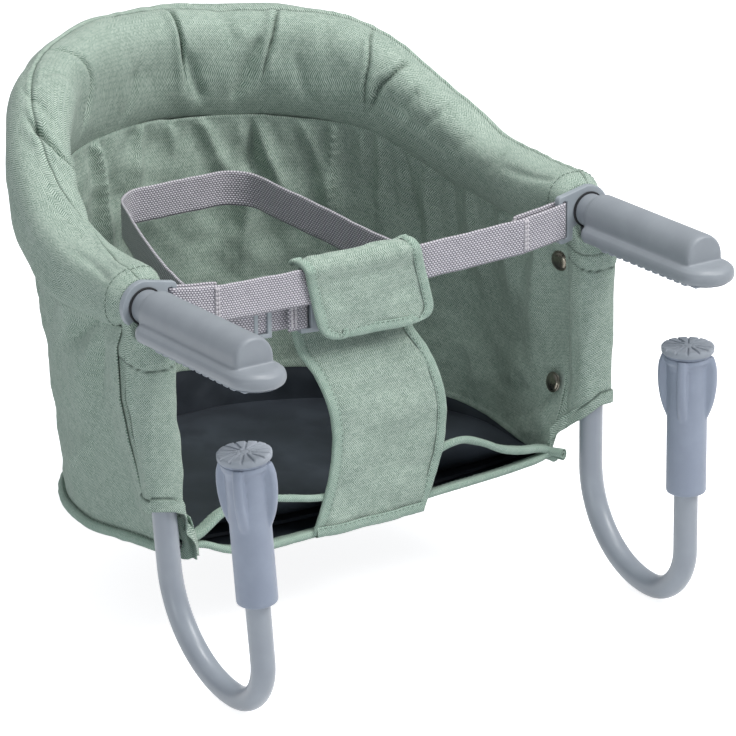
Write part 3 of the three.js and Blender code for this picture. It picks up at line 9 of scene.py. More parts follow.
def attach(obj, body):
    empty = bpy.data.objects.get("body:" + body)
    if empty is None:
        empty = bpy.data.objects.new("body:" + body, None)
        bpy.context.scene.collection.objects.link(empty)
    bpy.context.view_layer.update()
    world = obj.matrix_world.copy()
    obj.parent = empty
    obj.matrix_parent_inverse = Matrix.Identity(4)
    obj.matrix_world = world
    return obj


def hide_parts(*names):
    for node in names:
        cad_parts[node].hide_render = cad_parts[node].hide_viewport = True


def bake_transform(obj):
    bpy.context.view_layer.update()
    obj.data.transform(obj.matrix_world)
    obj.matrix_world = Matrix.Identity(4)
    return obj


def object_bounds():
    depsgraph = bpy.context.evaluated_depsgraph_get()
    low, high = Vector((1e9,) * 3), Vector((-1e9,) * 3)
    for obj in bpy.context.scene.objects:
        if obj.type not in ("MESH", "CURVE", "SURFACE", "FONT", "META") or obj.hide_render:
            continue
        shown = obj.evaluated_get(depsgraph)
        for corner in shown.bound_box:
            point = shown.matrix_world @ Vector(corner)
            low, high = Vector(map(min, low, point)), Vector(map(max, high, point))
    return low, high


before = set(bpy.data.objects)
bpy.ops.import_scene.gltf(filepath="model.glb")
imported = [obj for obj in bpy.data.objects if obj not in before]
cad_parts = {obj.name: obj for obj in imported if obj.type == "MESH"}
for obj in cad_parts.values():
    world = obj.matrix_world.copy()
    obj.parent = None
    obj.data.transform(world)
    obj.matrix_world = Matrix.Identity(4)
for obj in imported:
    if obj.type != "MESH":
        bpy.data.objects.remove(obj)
cad_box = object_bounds()

MM = 0.001
TURN = 2 * math.pi
SIDES = {"left": -1, "right": 1}


# The photograph's viewpoint

CAMERA_AZIMUTH = math.radians(-34.205)
CAMERA_HEIGHT = math.radians(19.185)
CAMERA_ROLL = math.radians(-0.524)
CAMERA_PLACE = Vector((-1.78864, -2.61149, 1.04405))
CAMERA_LENS = 244.565
CAMERA_FILM = 36


def set_camera():
    across = Vector((math.cos(CAMERA_AZIMUTH), math.sin(CAMERA_AZIMUTH), 0))
    level = math.cos(CAMERA_HEIGHT)
    ahead = Vector((-across.y * level, across.x * level, -math.sin(CAMERA_HEIGHT)))
    above = across.cross(ahead)
    right = across * math.cos(CAMERA_ROLL) + above * math.sin(CAMERA_ROLL)
    up = above * math.cos(CAMERA_ROLL) - across * math.sin(CAMERA_ROLL)
    data = bpy.data.cameras.new("camera")
    data.lens = CAMERA_LENS
    data.sensor_width = CAMERA_FILM
    data.clip_end = 50
    camera = bpy.data.objects.new("camera", data)
    turn = Matrix((right, up, -ahead)).transposed().to_4x4()
    camera.matrix_world = Matrix.Translation(CAMERA_PLACE) @ turn
    bpy.context.collection.objects.link(camera)
    bpy.context.scene.camera = camera


set_camera()
bpy.context.scene.view_settings.view_transform = "Standard"


# Materials

class Value:
    """A socket in a material, so that sums on it read as ordinary Python."""

    def __init__(self, finish, socket):
        self.finish = finish
        self.socket = socket

    def math(self, operation, *others, before=False):
        values = [*others, self] if before else [self, *others]
        return self.finish.node("ShaderNodeMath", {"operation": operation}, dict(enumerate(values)))

    def __add__(self, other):
        return self.math("ADD", other)

    def __sub__(self, other):
        return self.math("SUBTRACT", other)

    def __rsub__(self, other):
        return self.math("SUBTRACT", other, before=True)

    def __mul__(self, other):
        return self.math("MULTIPLY", other)

    def __truediv__(self, other):
        return self.math("DIVIDE", other)

    def __mod__(self, other):
        return self.math("FLOORED_MODULO", other)

    def sine(self):
        return self.math("SINE")

    def floor(self):
        return self.math("FLOOR")

    def size(self):
        return self.math("ABSOLUTE")

    def held(self, low, high):
        """0 below low, 1 above high, and smooth between them."""
        settings = {"interpolation_type": "SMOOTHSTEP"}
        inputs = {"Value": self, "From Min": low, "From Max": high}
        return self.finish.node("ShaderNodeMapRange", settings, inputs)


class Finish:
    """A material made of nodes round one Principled shader."""

    def __init__(self, name, roughness, **sockets):
        self.material = bpy.data.materials.new(name)
        self.material.use_nodes = True
        self.tree = self.material.node_tree
        self.shader = self.tree.nodes["Principled BSDF"]
        self.set(Roughness=roughness, **sockets)

    def node(self, kind, settings=None, inputs=None, output=0):
        node = self.tree.nodes.new(kind)
        for key, value in (settings or {}).items():
            setattr(node, key, value)
        for key, value in (inputs or {}).items():
            self.feed(node.inputs[key], value)
        return Value(self, node.outputs[output])

    def feed(self, socket, value):
        if isinstance(value, Value):
            self.tree.links.new(value.socket, socket)
        else:
            socket.default_value = value

    def set(self, **sockets):
        for name, value in sockets.items():
            self.feed(self.shader.inputs[name.replace("_", " ")], value)

    def along(self):
        """Millimetres along and across the cloth."""
        uv = self.node("ShaderNodeUVMap", {"uv_map": "cloth"})
        parts = self.tree.nodes.new("ShaderNodeSeparateXYZ")
        self.feed(parts.inputs[0], uv)
        return uv, Value(self, parts.outputs[0]), Value(self, parts.outputs[1])

    def place(self):
        return self.node("ShaderNodeTexCoord", output="Object")

    def noise(self, vector, scale, detail=2.0, roughness=0.5):
        inputs = {"Vector": vector, "Scale": scale, "Detail": detail, "Roughness": roughness}
        return self.node("ShaderNodeTexNoise", None, inputs)

    def mix(self, share, first, second):
        return self.node("ShaderNodeMix", {"data_type": "RGBA"}, {0: share, 6: first, 7: second}, output=2)

    def bump(self, height, distance, strength):
        inputs = {"Height": height, "Distance": distance, "Strength": strength}
        self.set(Normal=self.node("ShaderNodeBump", None, inputs))


def paint(red, green, blue):
    """A colour as a picture holds it, 0 to 255, for a shader."""
    channels = [value / 255 for value in (red, green, blue)]
    linear = [c / 12.92 if c < 0.04045 else ((c + 0.055) / 1.055) ** 2.4 for c in channels]
    return (*linear, 1.0)


def seat_cloth(name, light, dark, seam_and_shade_colour):
    """Fine mottled twill: short slanting threads that lean the other way row by row."""
    cloth = Finish(name, 0.92, Sheen_Weight=0.12, Sheen_Roughness=0.5, Specular_IOR_Level=0.2)
    uv, u, v = cloth.along()
    row = (v / TWILL_ROW).floor()
    lean = 1 - (row % 2) * 2
    wander = cloth.noise(uv, 0.3, 2) * 1.5
    along = (u + lean * v * 0.95 + wander) / TWILL_PITCH
    thread = (along * TURN).sine() * 0.5 + 0.5
    cell = cloth.node("ShaderNodeCombineXYZ", None, {0: along.floor(), 1: row})
    own = cloth.node("ShaderNodeTexWhiteNoise", None, {"Vector": cell})
    groove = (v * (math.pi / TWILL_ROW)).sine().size()
    slub = cloth.noise(uv, 0.9, 3, 0.65)
    patch = cloth.noise(uv, 0.03, 2)
    tone = thread * (groove * 0.2 + 0.8) * 0.85 + own * 0.22 + slub * 0.45 + patch * 0.16 - 0.36
    colour = cloth.mix(tone.held(0, 1), dark, light)
    # The seam attribute darkens the cloth towards the seam colour: along real seams and hems, and as painted
    # shade in the roll's creases and the pockets' slits.
    seam = cloth.node("ShaderNodeAttribute", {"attribute_name": "seam"}, output="Fac")
    cloth.set(Base_Color=cloth.mix(seam, colour, seam_and_shade_colour))
    cloth.bump(thread * (groove * 0.3 + 0.7) * 0.6 + slub * 0.5, 0.2 * MM, 0.45)
    return cloth.material


def woven_band(name, light, dark):
    """Webbing: rows of plump little threads, each row set off by half a step."""
    band = Finish(name, 0.85, Sheen_Weight=0.2)
    uv, u, v = band.along()
    row = (v / BAND_ROW).floor()
    step = (u / BAND_PITCH + row * 0.5) % 1
    plump = (step * math.pi).sine()
    ridge = (v * (math.pi / BAND_ROW)).sine().size()
    knot = plump * ridge
    mottle = band.noise(uv, 0.35, 2)
    tone = knot.held(0.12, 0.85) * 0.85 + mottle * 0.3 - 0.1
    band.set(Base_Color=band.mix(tone.held(0, 1), dark, light))
    band.bump(knot, 0.5 * MM, 0.8)
    return band.material


def coated_cloth(name, colour, worn):
    cloth = Finish(name, 0.5, Specular_IOR_Level=0.35)
    place = cloth.place()
    crease = cloth.noise(place, 22, 3, 0.55)
    grain = cloth.noise(place, 1400, 2)
    cloth.set(Base_Color=cloth.mix(crease.held(0.35, 0.8), colour, worn))
    cloth.set(Roughness=crease * 0.3 + 0.38)
    cloth.bump(crease * 0.9 + grain * 0.06, 1.2 * MM, 0.5)
    return cloth.material


def moulding(name, colour, pale, roughness, grain):
    """Moulded plastic: a fine sparked grain, with rubbed and slightly paler patches."""
    plastic = Finish(name, roughness, Specular_IOR_Level=0.4)
    place = plastic.place()
    rub = plastic.noise(place, 34, 4, 0.6)
    spark = plastic.noise(place, 2600, 2, 0.6)
    plastic.set(Base_Color=plastic.mix(rub.held(0.35, 0.75), colour, pale))
    plastic.set(Roughness=rub * 0.08 + spark * 0.06 + roughness - 0.07)
    plastic.bump(spark, 0.05 * MM, grain)
    return plastic.material


def lacquer(name, colour, pale):
    tube = Finish(name, 0.36, Coat_Weight=0.25, Coat_Roughness=0.25)
    place = tube.place()
    cloud = tube.noise(place, 26, 3)
    peel = tube.noise(place, 520, 2)
    tube.set(Base_Color=tube.mix(cloud.held(0.3, 0.75), colour, pale))
    tube.set(Roughness=cloud * 0.14 + 0.3)
    tube.bump(peel, 0.08 * MM, 0.35)
    return tube.material


def metal(name, colour, roughness):
    steel = Finish(name, roughness, Metallic=1.0)
    place = steel.place()
    wear = steel.noise(place, 90, 4, 0.65)
    steel.set(Base_Color=steel.mix(wear.held(0.3, 0.8), colour, paint(150, 146, 140)))
    steel.set(Roughness=wear * 0.3 + roughness - 0.1)
    steel.bump(wear, 0.05 * MM, 0.4)
    return steel.material


def thread(name, colour, pale):
    cotton = Finish(name, 0.8, Sheen_Weight=0.3)
    strand = cotton.noise(cotton.place(), 1500, 2)
    cotton.set(Base_Color=cotton.mix(strand, colour, pale))
    return cotton.material


TWILL_ROW = 2.5
TWILL_PITCH = 1.5
BAND_ROW = 1.55
BAND_PITCH = 2.3

SAGE = seat_cloth("sage twill", paint(199, 213, 202), paint(98, 122, 109), paint(52, 66, 58))
TRIM = seat_cloth("sage binding", paint(184, 200, 189), paint(118, 144, 130), paint(60, 78, 68))
BAND = woven_band("lilac grey webbing", paint(222, 218, 226), paint(124, 122, 131))
NAVY = coated_cloth("navy coated cloth", paint(42, 47, 54), paint(58, 64, 73))
GRIP = moulding("grip plastic", paint(140, 146, 153), paint(147, 153, 160), 0.4, 0.3)
PALE = moulding("pale strap plastic", paint(150, 158, 165), paint(162, 170, 177), 0.42, 0.2)
KNOB = moulding("knob plastic", paint(140, 149, 166), paint(148, 157, 174), 0.42, 0.25)
PAD = moulding("grey rubber", paint(150, 157, 166), paint(168, 174, 183), 0.7, 0.5)
TUBE = lacquer("grey tube lacquer", paint(144, 151, 161), paint(156, 163, 172))
STEEL = metal("zinc steel", paint(120, 121, 123), 0.38)
NICKEL = metal("dark nickel", paint(122, 117, 106), 0.25)
# Painted shade: a near-black moulding for the rings that stand in for the shadow round each grip's collar.
GAP_SHADOW = moulding("painted gap shadow", paint(24, 26, 30), paint(40, 43, 48), 0.7, 0.3)
STITCH = thread("green sewing thread", paint(66, 84, 74), paint(120, 140, 128))
WHITE_STITCH = thread("grey sewing thread", paint(176, 172, 178), paint(214, 210, 216))


# Lines and surfaces, in millimetres

def smooth(value, start, end):
    share = np.clip((np.asarray(value, float) - start) / (end - start), 0, 1)
    return share * share * (3 - 2 * share)


def between(first, second, share):
    return first + (second - first) * share


def bell(distance, width):
    return np.exp(-((distance / width) ** 2))


def spaced(line, steps):
    """The same line, cut into equal steps."""
    line = np.asarray(line, float)
    travelled = lengths(line)
    stops = np.linspace(0, travelled[-1], steps + 1)
    return np.stack([np.interp(stops, travelled, column) for column in line.T], axis=1)


def lengths(line):
    gaps = np.linalg.norm(np.diff(line, axis=0), axis=1)
    return np.concatenate([[0], np.cumsum(gaps)])


def curve_at(knots, values, at):
    """A smooth curve through values, read at the given places."""
    knots = np.asarray(knots, float)
    values = np.asarray(values, float)
    slopes = np.gradient(values, knots, axis=0)
    at = np.clip(np.asarray(at, float), knots[0], knots[-1])
    i = np.clip(np.searchsorted(knots, at, side="right") - 1, 0, len(knots) - 2)
    gap = knots[i + 1] - knots[i]
    u = (at - knots[i]) / gap
    if values.ndim > 1:
        u = u[..., None]
        gap = gap[..., None]
    start = (2 * u**3 - 3 * u**2 + 1) * values[i] + (u**3 - 2 * u**2 + u) * gap * slopes[i]
    return start + (3 * u**2 - 2 * u**3) * values[i + 1] + (u**3 - u**2) * gap * slopes[i + 1]


def through(points, steps):
    """A smooth line through points, in equal steps."""
    points = np.asarray(points, float)
    knots = lengths(points)
    return spaced(curve_at(knots, points, np.linspace(0, knots[-1], 8 * steps)), steps)


def directions(line):
    ahead = np.gradient(line, axis=0)
    return ahead / np.linalg.norm(ahead, axis=1)[:, None]


def unit(vectors):
    return vectors / np.maximum(np.linalg.norm(vectors, axis=-1), 1e-9)[..., None]


def grid_normals(grid, centre):
    """Normals of a grid of points, pointing away from centre."""
    normals = unit(np.cross(np.gradient(grid, axis=0), np.gradient(grid, axis=1)))
    away = np.sign((normals * (grid - centre)).sum(-1))
    return normals * away[..., None]


def closed(grid):
    """The grid with its first column once more at its end."""
    return np.concatenate([grid, grid[:, :1]], axis=1)


def rumple(grid, scale, seed):
    """Smooth unevenness, about -0.5 to 0.5, over features of that size."""
    flat = np.asarray(grid, float).reshape(-1, 3) / scale + seed * 17.3
    return np.array([noise.noise(point) for point in flat.tolist()]).reshape(np.shape(grid)[:-1])


def cloth_lines(grid, turned=False):
    """Millimetres along and across a grid, for the weave."""
    down = np.linalg.norm(np.diff(grid, axis=0), axis=-1)
    down = np.vstack([np.zeros(grid.shape[1]), np.cumsum(down, axis=0)])
    across = np.linalg.norm(np.diff(grid, axis=1), axis=-1)
    across = np.hstack([np.zeros((grid.shape[0], 1)), np.cumsum(across, axis=1)])
    across = np.broadcast_to(across.mean(axis=0), across.shape)
    down = np.broadcast_to(down.mean(axis=1)[:, None], down.shape)
    return np.stack([across, down] if turned else [down, across], axis=-1)


class Shape:
    """Points and faces that become one piece."""

    def __init__(self):
        self.points = []
        self.faces = []
        self.uvs = []
        self.seams_and_shade = []
        self.marks = []

    def add(self, points, faces, uvs=None, seam=None, mark=0):
        points = np.asarray(points, float).reshape(-1, 3)
        start = len(self.points)
        self.points.extend(points.tolist())
        self.seams_and_shade.extend(np.zeros(len(points)) if seam is None else np.ravel(seam))
        for n, face in enumerate(faces):
            self.faces.append([start + i for i in face])
            self.uvs.append([(points[i][0], points[i][2]) for i in face] if uvs is None else uvs[n])
            self.marks.append(mark[n] if isinstance(mark, list) else mark)

    def grid(self, grid, uv=None, round_it=False, caps=False, seam=None, mark=0):
        """A skin over rows of points. round_it joins the last column to the first."""
        grid = np.asarray(grid, float)
        rows, columns = grid.shape[:2]
        whole = closed(grid) if round_it else grid
        uv = cloth_lines(whole) if uv is None else uv
        faces = []
        uvs = []
        marks = np.broadcast_to(mark, (rows - 1, whole.shape[1] - 1)).ravel().tolist()
        marks += [marks[0]] * (2 if caps else 0)
        for i in range(rows - 1):
            for j in range(whole.shape[1] - 1):
                k = (j + 1) % columns
                faces.append((i * columns + j, i * columns + k, (i + 1) * columns + k, (i + 1) * columns + j))
                uvs.append([uv[i][j], uv[i][j + 1], uv[i + 1][j + 1], uv[i + 1][j]])
        if caps:
            faces.append(list(range(columns))[::-1])
            uvs.append([uv[0][j] for j in range(columns)][::-1])
            faces.append([(rows - 1) * columns + j for j in range(columns)])
            uvs.append([uv[-1][j] for j in range(columns)])
        self.add(grid, faces, uvs, seam, marks)

    def rods(self, rods, mark=0):
        for line, radius in rods:
            self.grid(rod(line, radius), round_it=True, caps=True, mark=mark)

    def moved(self, change):
        self.points = change(np.array(self.points)).tolist()

    def piece(self, name, finishes, body, slot, nodes=(), thick=0):
        mesh = bpy.data.meshes.new(name)
        mesh.from_pydata((np.array(self.points) * MM).tolist(), [], self.faces)
        layer = mesh.uv_layers.new(name="cloth")
        flat = [value for face in self.uvs for pair in face for value in pair]
        layer.data.foreach_set("uv", np.array(flat, np.float32))
        # Per-point darkness: seam and hem lines, and painted shade in creases and slits.
        seam = mesh.attributes.new("seam", "FLOAT", "POINT")
        seam.data.foreach_set("value", np.array(self.seams_and_shade, np.float32))
        for finish in finishes if isinstance(finishes, (list, tuple)) else [finishes]:
            mesh.materials.append(finish)
        mesh.polygons.foreach_set("material_index", self.marks)
        build = bmesh.new()
        build.from_mesh(mesh)
        bmesh.ops.recalc_face_normals(build, faces=build.faces)
        build.to_mesh(mesh)
        build.free()
        mesh.polygons.foreach_set("use_smooth", [True] * len(mesh.polygons))
        thing = bpy.data.objects.new(name, mesh)
        bpy.context.collection.objects.link(thing)
        if thick:
            solidify = thing.modifiers.new("thickness", "SOLIDIFY")
            solidify.thickness = thick * MM
            solidify.offset = 0
        return placed(thing, body, nodes)


def placed(thing, body, nodes):
    if nodes:
        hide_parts(*nodes)
    if isinstance(body, str):
        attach(thing, body)
    else:
        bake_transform(thing)
    return thing


def rod(line, radius, sides=8):
    """Rings of points round a line."""
    line = np.asarray(line, float)
    ahead = directions(line)
    side = unit(np.cross(ahead, (0.13, 0.21, 0.97)))
    over = np.cross(side, ahead)
    angles = TURN * np.arange(sides) / sides
    radius = np.broadcast_to(np.asarray(radius, float), (len(line),))
    ring = side[:, None] * np.cos(angles)[None, :, None] + over[:, None] * np.sin(angles)[None, :, None]
    return line[:, None] + ring * radius[:, None, None]


# Each kind of stitch: its length, the gap before the next, and the thread's radius
SEAM_STITCH = (2.8, 1.2, 0.3)
HEM_STITCH = (2.8, 1.2, 0.32)
BINDING_STITCH = (2.6, 1.2, 0.28)
WEBBING_STITCH = (2.2, 0.9, 0.3)


def stitched(line, lift, length, gap, radius):
    """Short threads along a line, each a little arched. lift is the way out of the cloth."""
    line = np.asarray(line, float)
    travelled = lengths(line)
    lift = np.broadcast_to(np.asarray(lift, float), line.shape)
    rods = []
    start = gap
    while start + length < travelled[-1]:
        stops = start + length * np.linspace(0, 1, 5)
        points = np.stack([np.interp(stops, travelled, column) for column in line.T], axis=1)
        out = np.stack([np.interp(stops, travelled, column) for column in lift.T], axis=1)
        arch = np.array([-0.6, 0.55, 0.8, 0.55, -0.6]) * radius
        rods.append((points + unit(out) * arch[:, None], radius))
        start += length + gap
    return rods


def prism(outline, low, high):
    """A straight solid over an outline in x and z, from low to high along y."""
    outline = np.asarray(outline, float)
    sides = len(outline)
    rows = [np.insert(outline, 1, level, axis=1) for level in (low, high)]
    faces = [(i, (i + 1) % sides, sides + (i + 1) % sides, sides + i) for i in range(sides)]
    faces += [list(range(sides))[::-1], list(range(sides, 2 * sides))]
    return np.vstack(rows), faces


def lathe(profile, sides, bored=False):
    """A solid turned round the upright axis. bored joins the profile's ends round the hole."""
    profile = np.asarray(profile, float)
    angles = TURN * np.arange(sides) / sides
    ring = np.stack([np.cos(angles), np.sin(angles), np.zeros(sides)], axis=1)
    grid = profile[:, 0][:, None, None] * ring[None] + profile[:, 1][:, None, None] * np.array([0, 0, 1.0])
    if bored:
        grid = np.concatenate([grid, grid[:1]])
    return grid


def moulded(shape, name, finish, body, slot, nodes, voxel, rounds):
    """Runs a piece's overlapping solids into one moulding with softened edges."""
    thing = shape.piece(name, finish, body, slot, nodes)
    remesh = thing.modifiers.new("one skin", "REMESH")
    remesh.mode = "VOXEL"
    remesh.voxel_size = voxel * MM
    soften = thing.modifiers.new("soft edges", "SMOOTH")
    soften.factor = 0.5
    soften.iterations = rounds

    ready = bpy.context.evaluated_depsgraph_get()
    mesh = bpy.data.meshes.new_from_object(thing.evaluated_get(ready))
    thing.modifiers.clear()
    thing.data = mesh
    mesh.polygons.foreach_set("use_smooth", [True] * len(mesh.polygons))


def solid_points(node):
    """The corners of a CAD piece."""
    return np.array([tuple(v.co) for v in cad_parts[node].data.vertices]) / MM


def from_solid(node, finish, slot, voxel, rounds):
    """A CAD piece with its edges softened as a mould leaves them."""
    shape = Shape()
    shape.add(solid_points(node), [tuple(p.vertices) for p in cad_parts[node].data.polygons])
    moulded(shape, node + ".moulded", finish, "seat_frame", slot, [node], voxel, rounds)


# The hoop, the roll and the seat's walls: the measures that the model is built to

ARM_X = 179.0
ARM_HEIGHT = 18.0
TUBE_RADIUS = 8.25
HOOP_STRAIGHT_END = 93.0
HOOP_BACK = 285.0
HOOP_SQUARENESS = 1.9
HOOP_SHIFT = -16.6
HOOP_SHIFT_START = 60.0
ROLL_FRONT = 19.0
ROLL_STATIONS = [0, 0.207, 0.414, 0.586, 0.723, 0.86, 1]
ROLL_MIDDLES = [21, 19, 26, 50, 74, 83, 87]
ROLL_HALF_HEIGHTS = [20, 22, 25.5, 35, 40, 42, 44]
ROLL_OUTER = [21, 20, 18.5, 17, 16, 15, 14.5]
ROLL_INNER = [22, 23, 24, 25, 26, 27, 27.5]
ROLL_SEAM = [2, 2.5, 3.2, 3.8, 4.3, 4.8, 5.4]
ROLL_FULLNESS = 0.8
ROLL_LEAN = 7.0
ROLL_HEM = 9.5
ROLL_LENGTH = 800.0
ROLL_GIRTH = 190.0
ROLL_MOUTH = 9.6
# The roll's closed ends: each ring's share of the roll's size, and how far back it lies
ROLL_END_RINGS = ((0.8, -1.2), (0.62, -0.6), (0.5, 1.5), (0.44, 6.0))
FLOOR_FRONT = 22.0
FLOOR_FRONT_HALF = 149.0
FLOOR_HALF = 163.0
FLOOR_SHIFT = 5.0
FLOOR_WIDEST = 105.0
FLOOR_BACK = 252.0
FLOOR_TOP = -161.5
FLOOR_SAG = 8.0
WALL_FRONT = 22.6
CORNER_HEIGHT = -157.0
CORNER_END = 48.0
PANEL_SHARE = 0.31
PANEL_LAP = 0.001
SEAT_MIDDLE = np.array([-5.0, 130.0, -60.0])


def hoop_plan(front, steps):
    angles = math.pi * np.linspace(1, 0, 801)
    power = 2 / HOOP_SQUARENESS
    x = ARM_X * np.sign(np.cos(angles)) * np.abs(np.cos(angles)) ** power
    y = between(HOOP_STRAIGHT_END, HOOP_BACK, np.maximum(np.sin(angles), 0) ** power)
    bow = np.stack([x, y], axis=1)
    plan = spaced(np.vstack([[-ARM_X, front], bow, [ARM_X, front]]), steps)
    share = np.maximum(plan[:, 1] - HOOP_SHIFT_START, 0) / (HOOP_BACK - HOOP_SHIFT_START)
    plan[:, 0] += HOOP_SHIFT * share**1.5
    return plan


def floor_plan(front, steps, outset=0.0):
    share = (front - FLOOR_FRONT) / (FLOOR_WIDEST - FLOOR_FRONT)
    corner = between(FLOOR_FRONT_HALF, FLOOR_HALF, share) + outset
    angles = math.pi * np.linspace(1, 0, 401)
    wide = FLOOR_HALF + outset
    deep = FLOOR_BACK - FLOOR_WIDEST + outset
    bow = np.stack([wide * np.cos(angles), FLOOR_WIDEST + deep * np.sin(angles)], axis=1)
    plan = spaced(np.vstack([[-corner, front], bow, [corner, front]]), steps)
    plan[:, 0] += FLOOR_SHIFT * (1 - smooth(plan[:, 1], FLOOR_FRONT, FLOOR_WIDEST))
    return plan


def outwards(plan):
    before = np.vstack([plan[:1], plan[:-1]])
    after = np.vstack([plan[1:], plan[-1:]])
    return unit(np.stack([before[:, 1] - after[:, 1], after[:, 0] - before[:, 0]], axis=1))


def on_line(line, share):
    at = np.asarray(share, float) * (len(line) - 1)
    i = np.clip(np.floor(at).astype(int), 0, len(line) - 2)
    return line[i] + (line[i + 1] - line[i]) * (at - i)[..., None]


def roll_size(values, y):
    return curve_at(ROLL_STATIONS, values, np.asarray(y, float) / HOOP_BACK)


def roll_section(y, turn, swell=0.0):
    """How far out and up the roll's skin is, at turn round its section: 0 on top, then inwards."""
    angle = TURN * turn + math.pi / 2
    c = np.cos(angle)
    s = np.sin(angle)
    sideways = np.abs(c) ** ROLL_FULLNESS
    width = np.where(c > 0, roll_size(ROLL_OUTER, y) + swell, -roll_size(ROLL_INNER, y) - swell)
    middle = np.where(s > 0, -roll_size(ROLL_SEAM, y) * (1 - sideways), 0)
    middle = middle - ROLL_LEAN * smooth(y, 60, 200) * sideways * s * np.maximum(-np.sign(c), 0)
    height = (roll_size(ROLL_HALF_HEIGHTS, y) + swell) * np.sign(s) * np.abs(s) ** ROLL_FULLNESS
    return middle + width * sideways, height


def inside_roll(points, swell=0.0):
    """Below 1 inside the roll."""
    line = hoop_plan(ROLL_FRONT, 240)
    out = outwards(line)
    flat = points.reshape(-1, 3)
    near = np.argmin(((flat[:, None, :2] - line[None]) ** 2).sum(-1), axis=1)
    aside = ((flat[:, :2] - line[near]) * out[near]).sum(-1)
    y = line[near, 1]
    rise = flat[:, 2] - roll_size(ROLL_MIDDLES, y)
    width = np.where(aside > 0, roll_size(ROLL_OUTER, y), roll_size(ROLL_INNER, y)) + swell
    tall = roll_size(ROLL_HALF_HEIGHTS, y) + swell
    power = 2 / ROLL_FULLNESS
    value = (np.abs(aside) / width) ** power + (np.abs(rise) / tall) ** power
    return value.reshape(points.shape[:-1])


WALL_TOP = hoop_plan(WALL_FRONT, 60)
WALL_TOP_OUT = outwards(WALL_TOP)
WALL_FOOT = floor_plan(WALL_FRONT, 60)
WALL_FOOT_OUT = outwards(WALL_FOOT)


def wall_point(share, up, inner):
    """A point of the seat's wall: inner is 0 on its outer cloth and 1 on its liner."""
    share, up = np.broadcast_arrays(np.asarray(share, float), np.asarray(up, float))
    top = on_line(WALL_TOP, share)
    foot = on_line(WALL_FOOT, share)
    top_out = on_line(WALL_TOP_OUT, share)
    foot_out = on_line(WALL_FOOT_OUT, share)
    thickness = between(3, 19, smooth(up, 0.35, 0.95))
    top_outset = between(9, 4, smooth(top[..., 1], CORNER_END, HOOP_BACK / 2))
    lip = between(3, top_outset, up) - inner * thickness
    low = foot + foot_out * lip[..., None]
    high = top + top_out * lip[..., None]
    plan = between(low, high, up[..., None])
    top_height = roll_size(ROLL_MIDDLES, top[..., 1])
    past_corner = smooth(foot[..., 1], WALL_FRONT, CORNER_END)
    foot_height = between(CORNER_HEIGHT, FLOOR_TOP - 1.0 - 2.5 * inner, past_corner)
    height = between(foot_height, top_height, up)
    return np.concatenate([plan, height[..., None]], axis=-1)


# How far the hooks hold the outer cloth's front edge out, by height
EDGE_HEIGHTS = [-157, -140, -116, -75, -46, -9, 6, 30]
EDGE_PUSHES = {"left": [3, 14, 22, 23, 22, 15, 6, 4], "right": [-3, 0, 11, 15, 14, 9, 6, 4]}
EDGE_REACH = 52.0
LINER_PUSH = 5.0
LINER_REACH = 34.0


def edge_push(side, height):
    return np.interp(height, EDGE_HEIGHTS, EDGE_PUSHES[side])


def liner_push(height, front):
    """How far the liner's front edge is drawn out towards the pocket."""
    level = smooth(height, -158, -110) * (1 - smooth(height, -20, 10))
    return LINER_PUSH * level * (1 - smooth(front, 0, LINER_REACH))


def held_out(grid, front):
    """Moves the outer cloth out over the pockets near its front edges."""
    push = np.where(grid[..., 0] < 0, edge_push("left", grid[..., 2]), edge_push("right", grid[..., 2]))
    near = 1 - smooth(front, 0, EDGE_REACH)
    grid = grid.copy()
    grid[..., 0] += np.sign(grid[..., 0]) * push * near
    grid[..., 1] -= 2.0 * (1 - smooth(front, 0, 14)) * smooth(push, 2, 8)
    return grid


def wall_reach(shares, inner):
    """How high up the wall shows before it goes under the roll."""
    ups = np.linspace(0.3, 1, 141)
    points = wall_point(shares[:, None], ups[None], inner)
    if not inner:
        points = held_out(points, np.minimum(shares, 1 - shares)[:, None] * WALL_ROUND)
    hidden = inside_roll(points, -1.5) < 1
    first = np.where(hidden.any(axis=1), ups[np.argmax(hidden, axis=1)], 1.0)
    kernel = np.ones(5) / 5
    return np.convolve(np.pad(first, 2, mode="edge"), kernel, mode="valid")


# Padded roll

# Where the roll's seam lies: the share along the roll, and the turn round it
SEAM_TURNS = [(0, -0.01), (0.03, -0.015), (0.075, 0.025), (0.108, 0.07), (0.14, 0.06), (0.165, 0.03),
              (0.2, 0.01), (0.25, -0.005), (0.4, -0.012), (0.512, 0.012), (0.62, 0.036), (0.69, 0.025),
              (0.76, -0.015), (0.83, -0.03), (0.92, -0.035), (1, -0.04)]
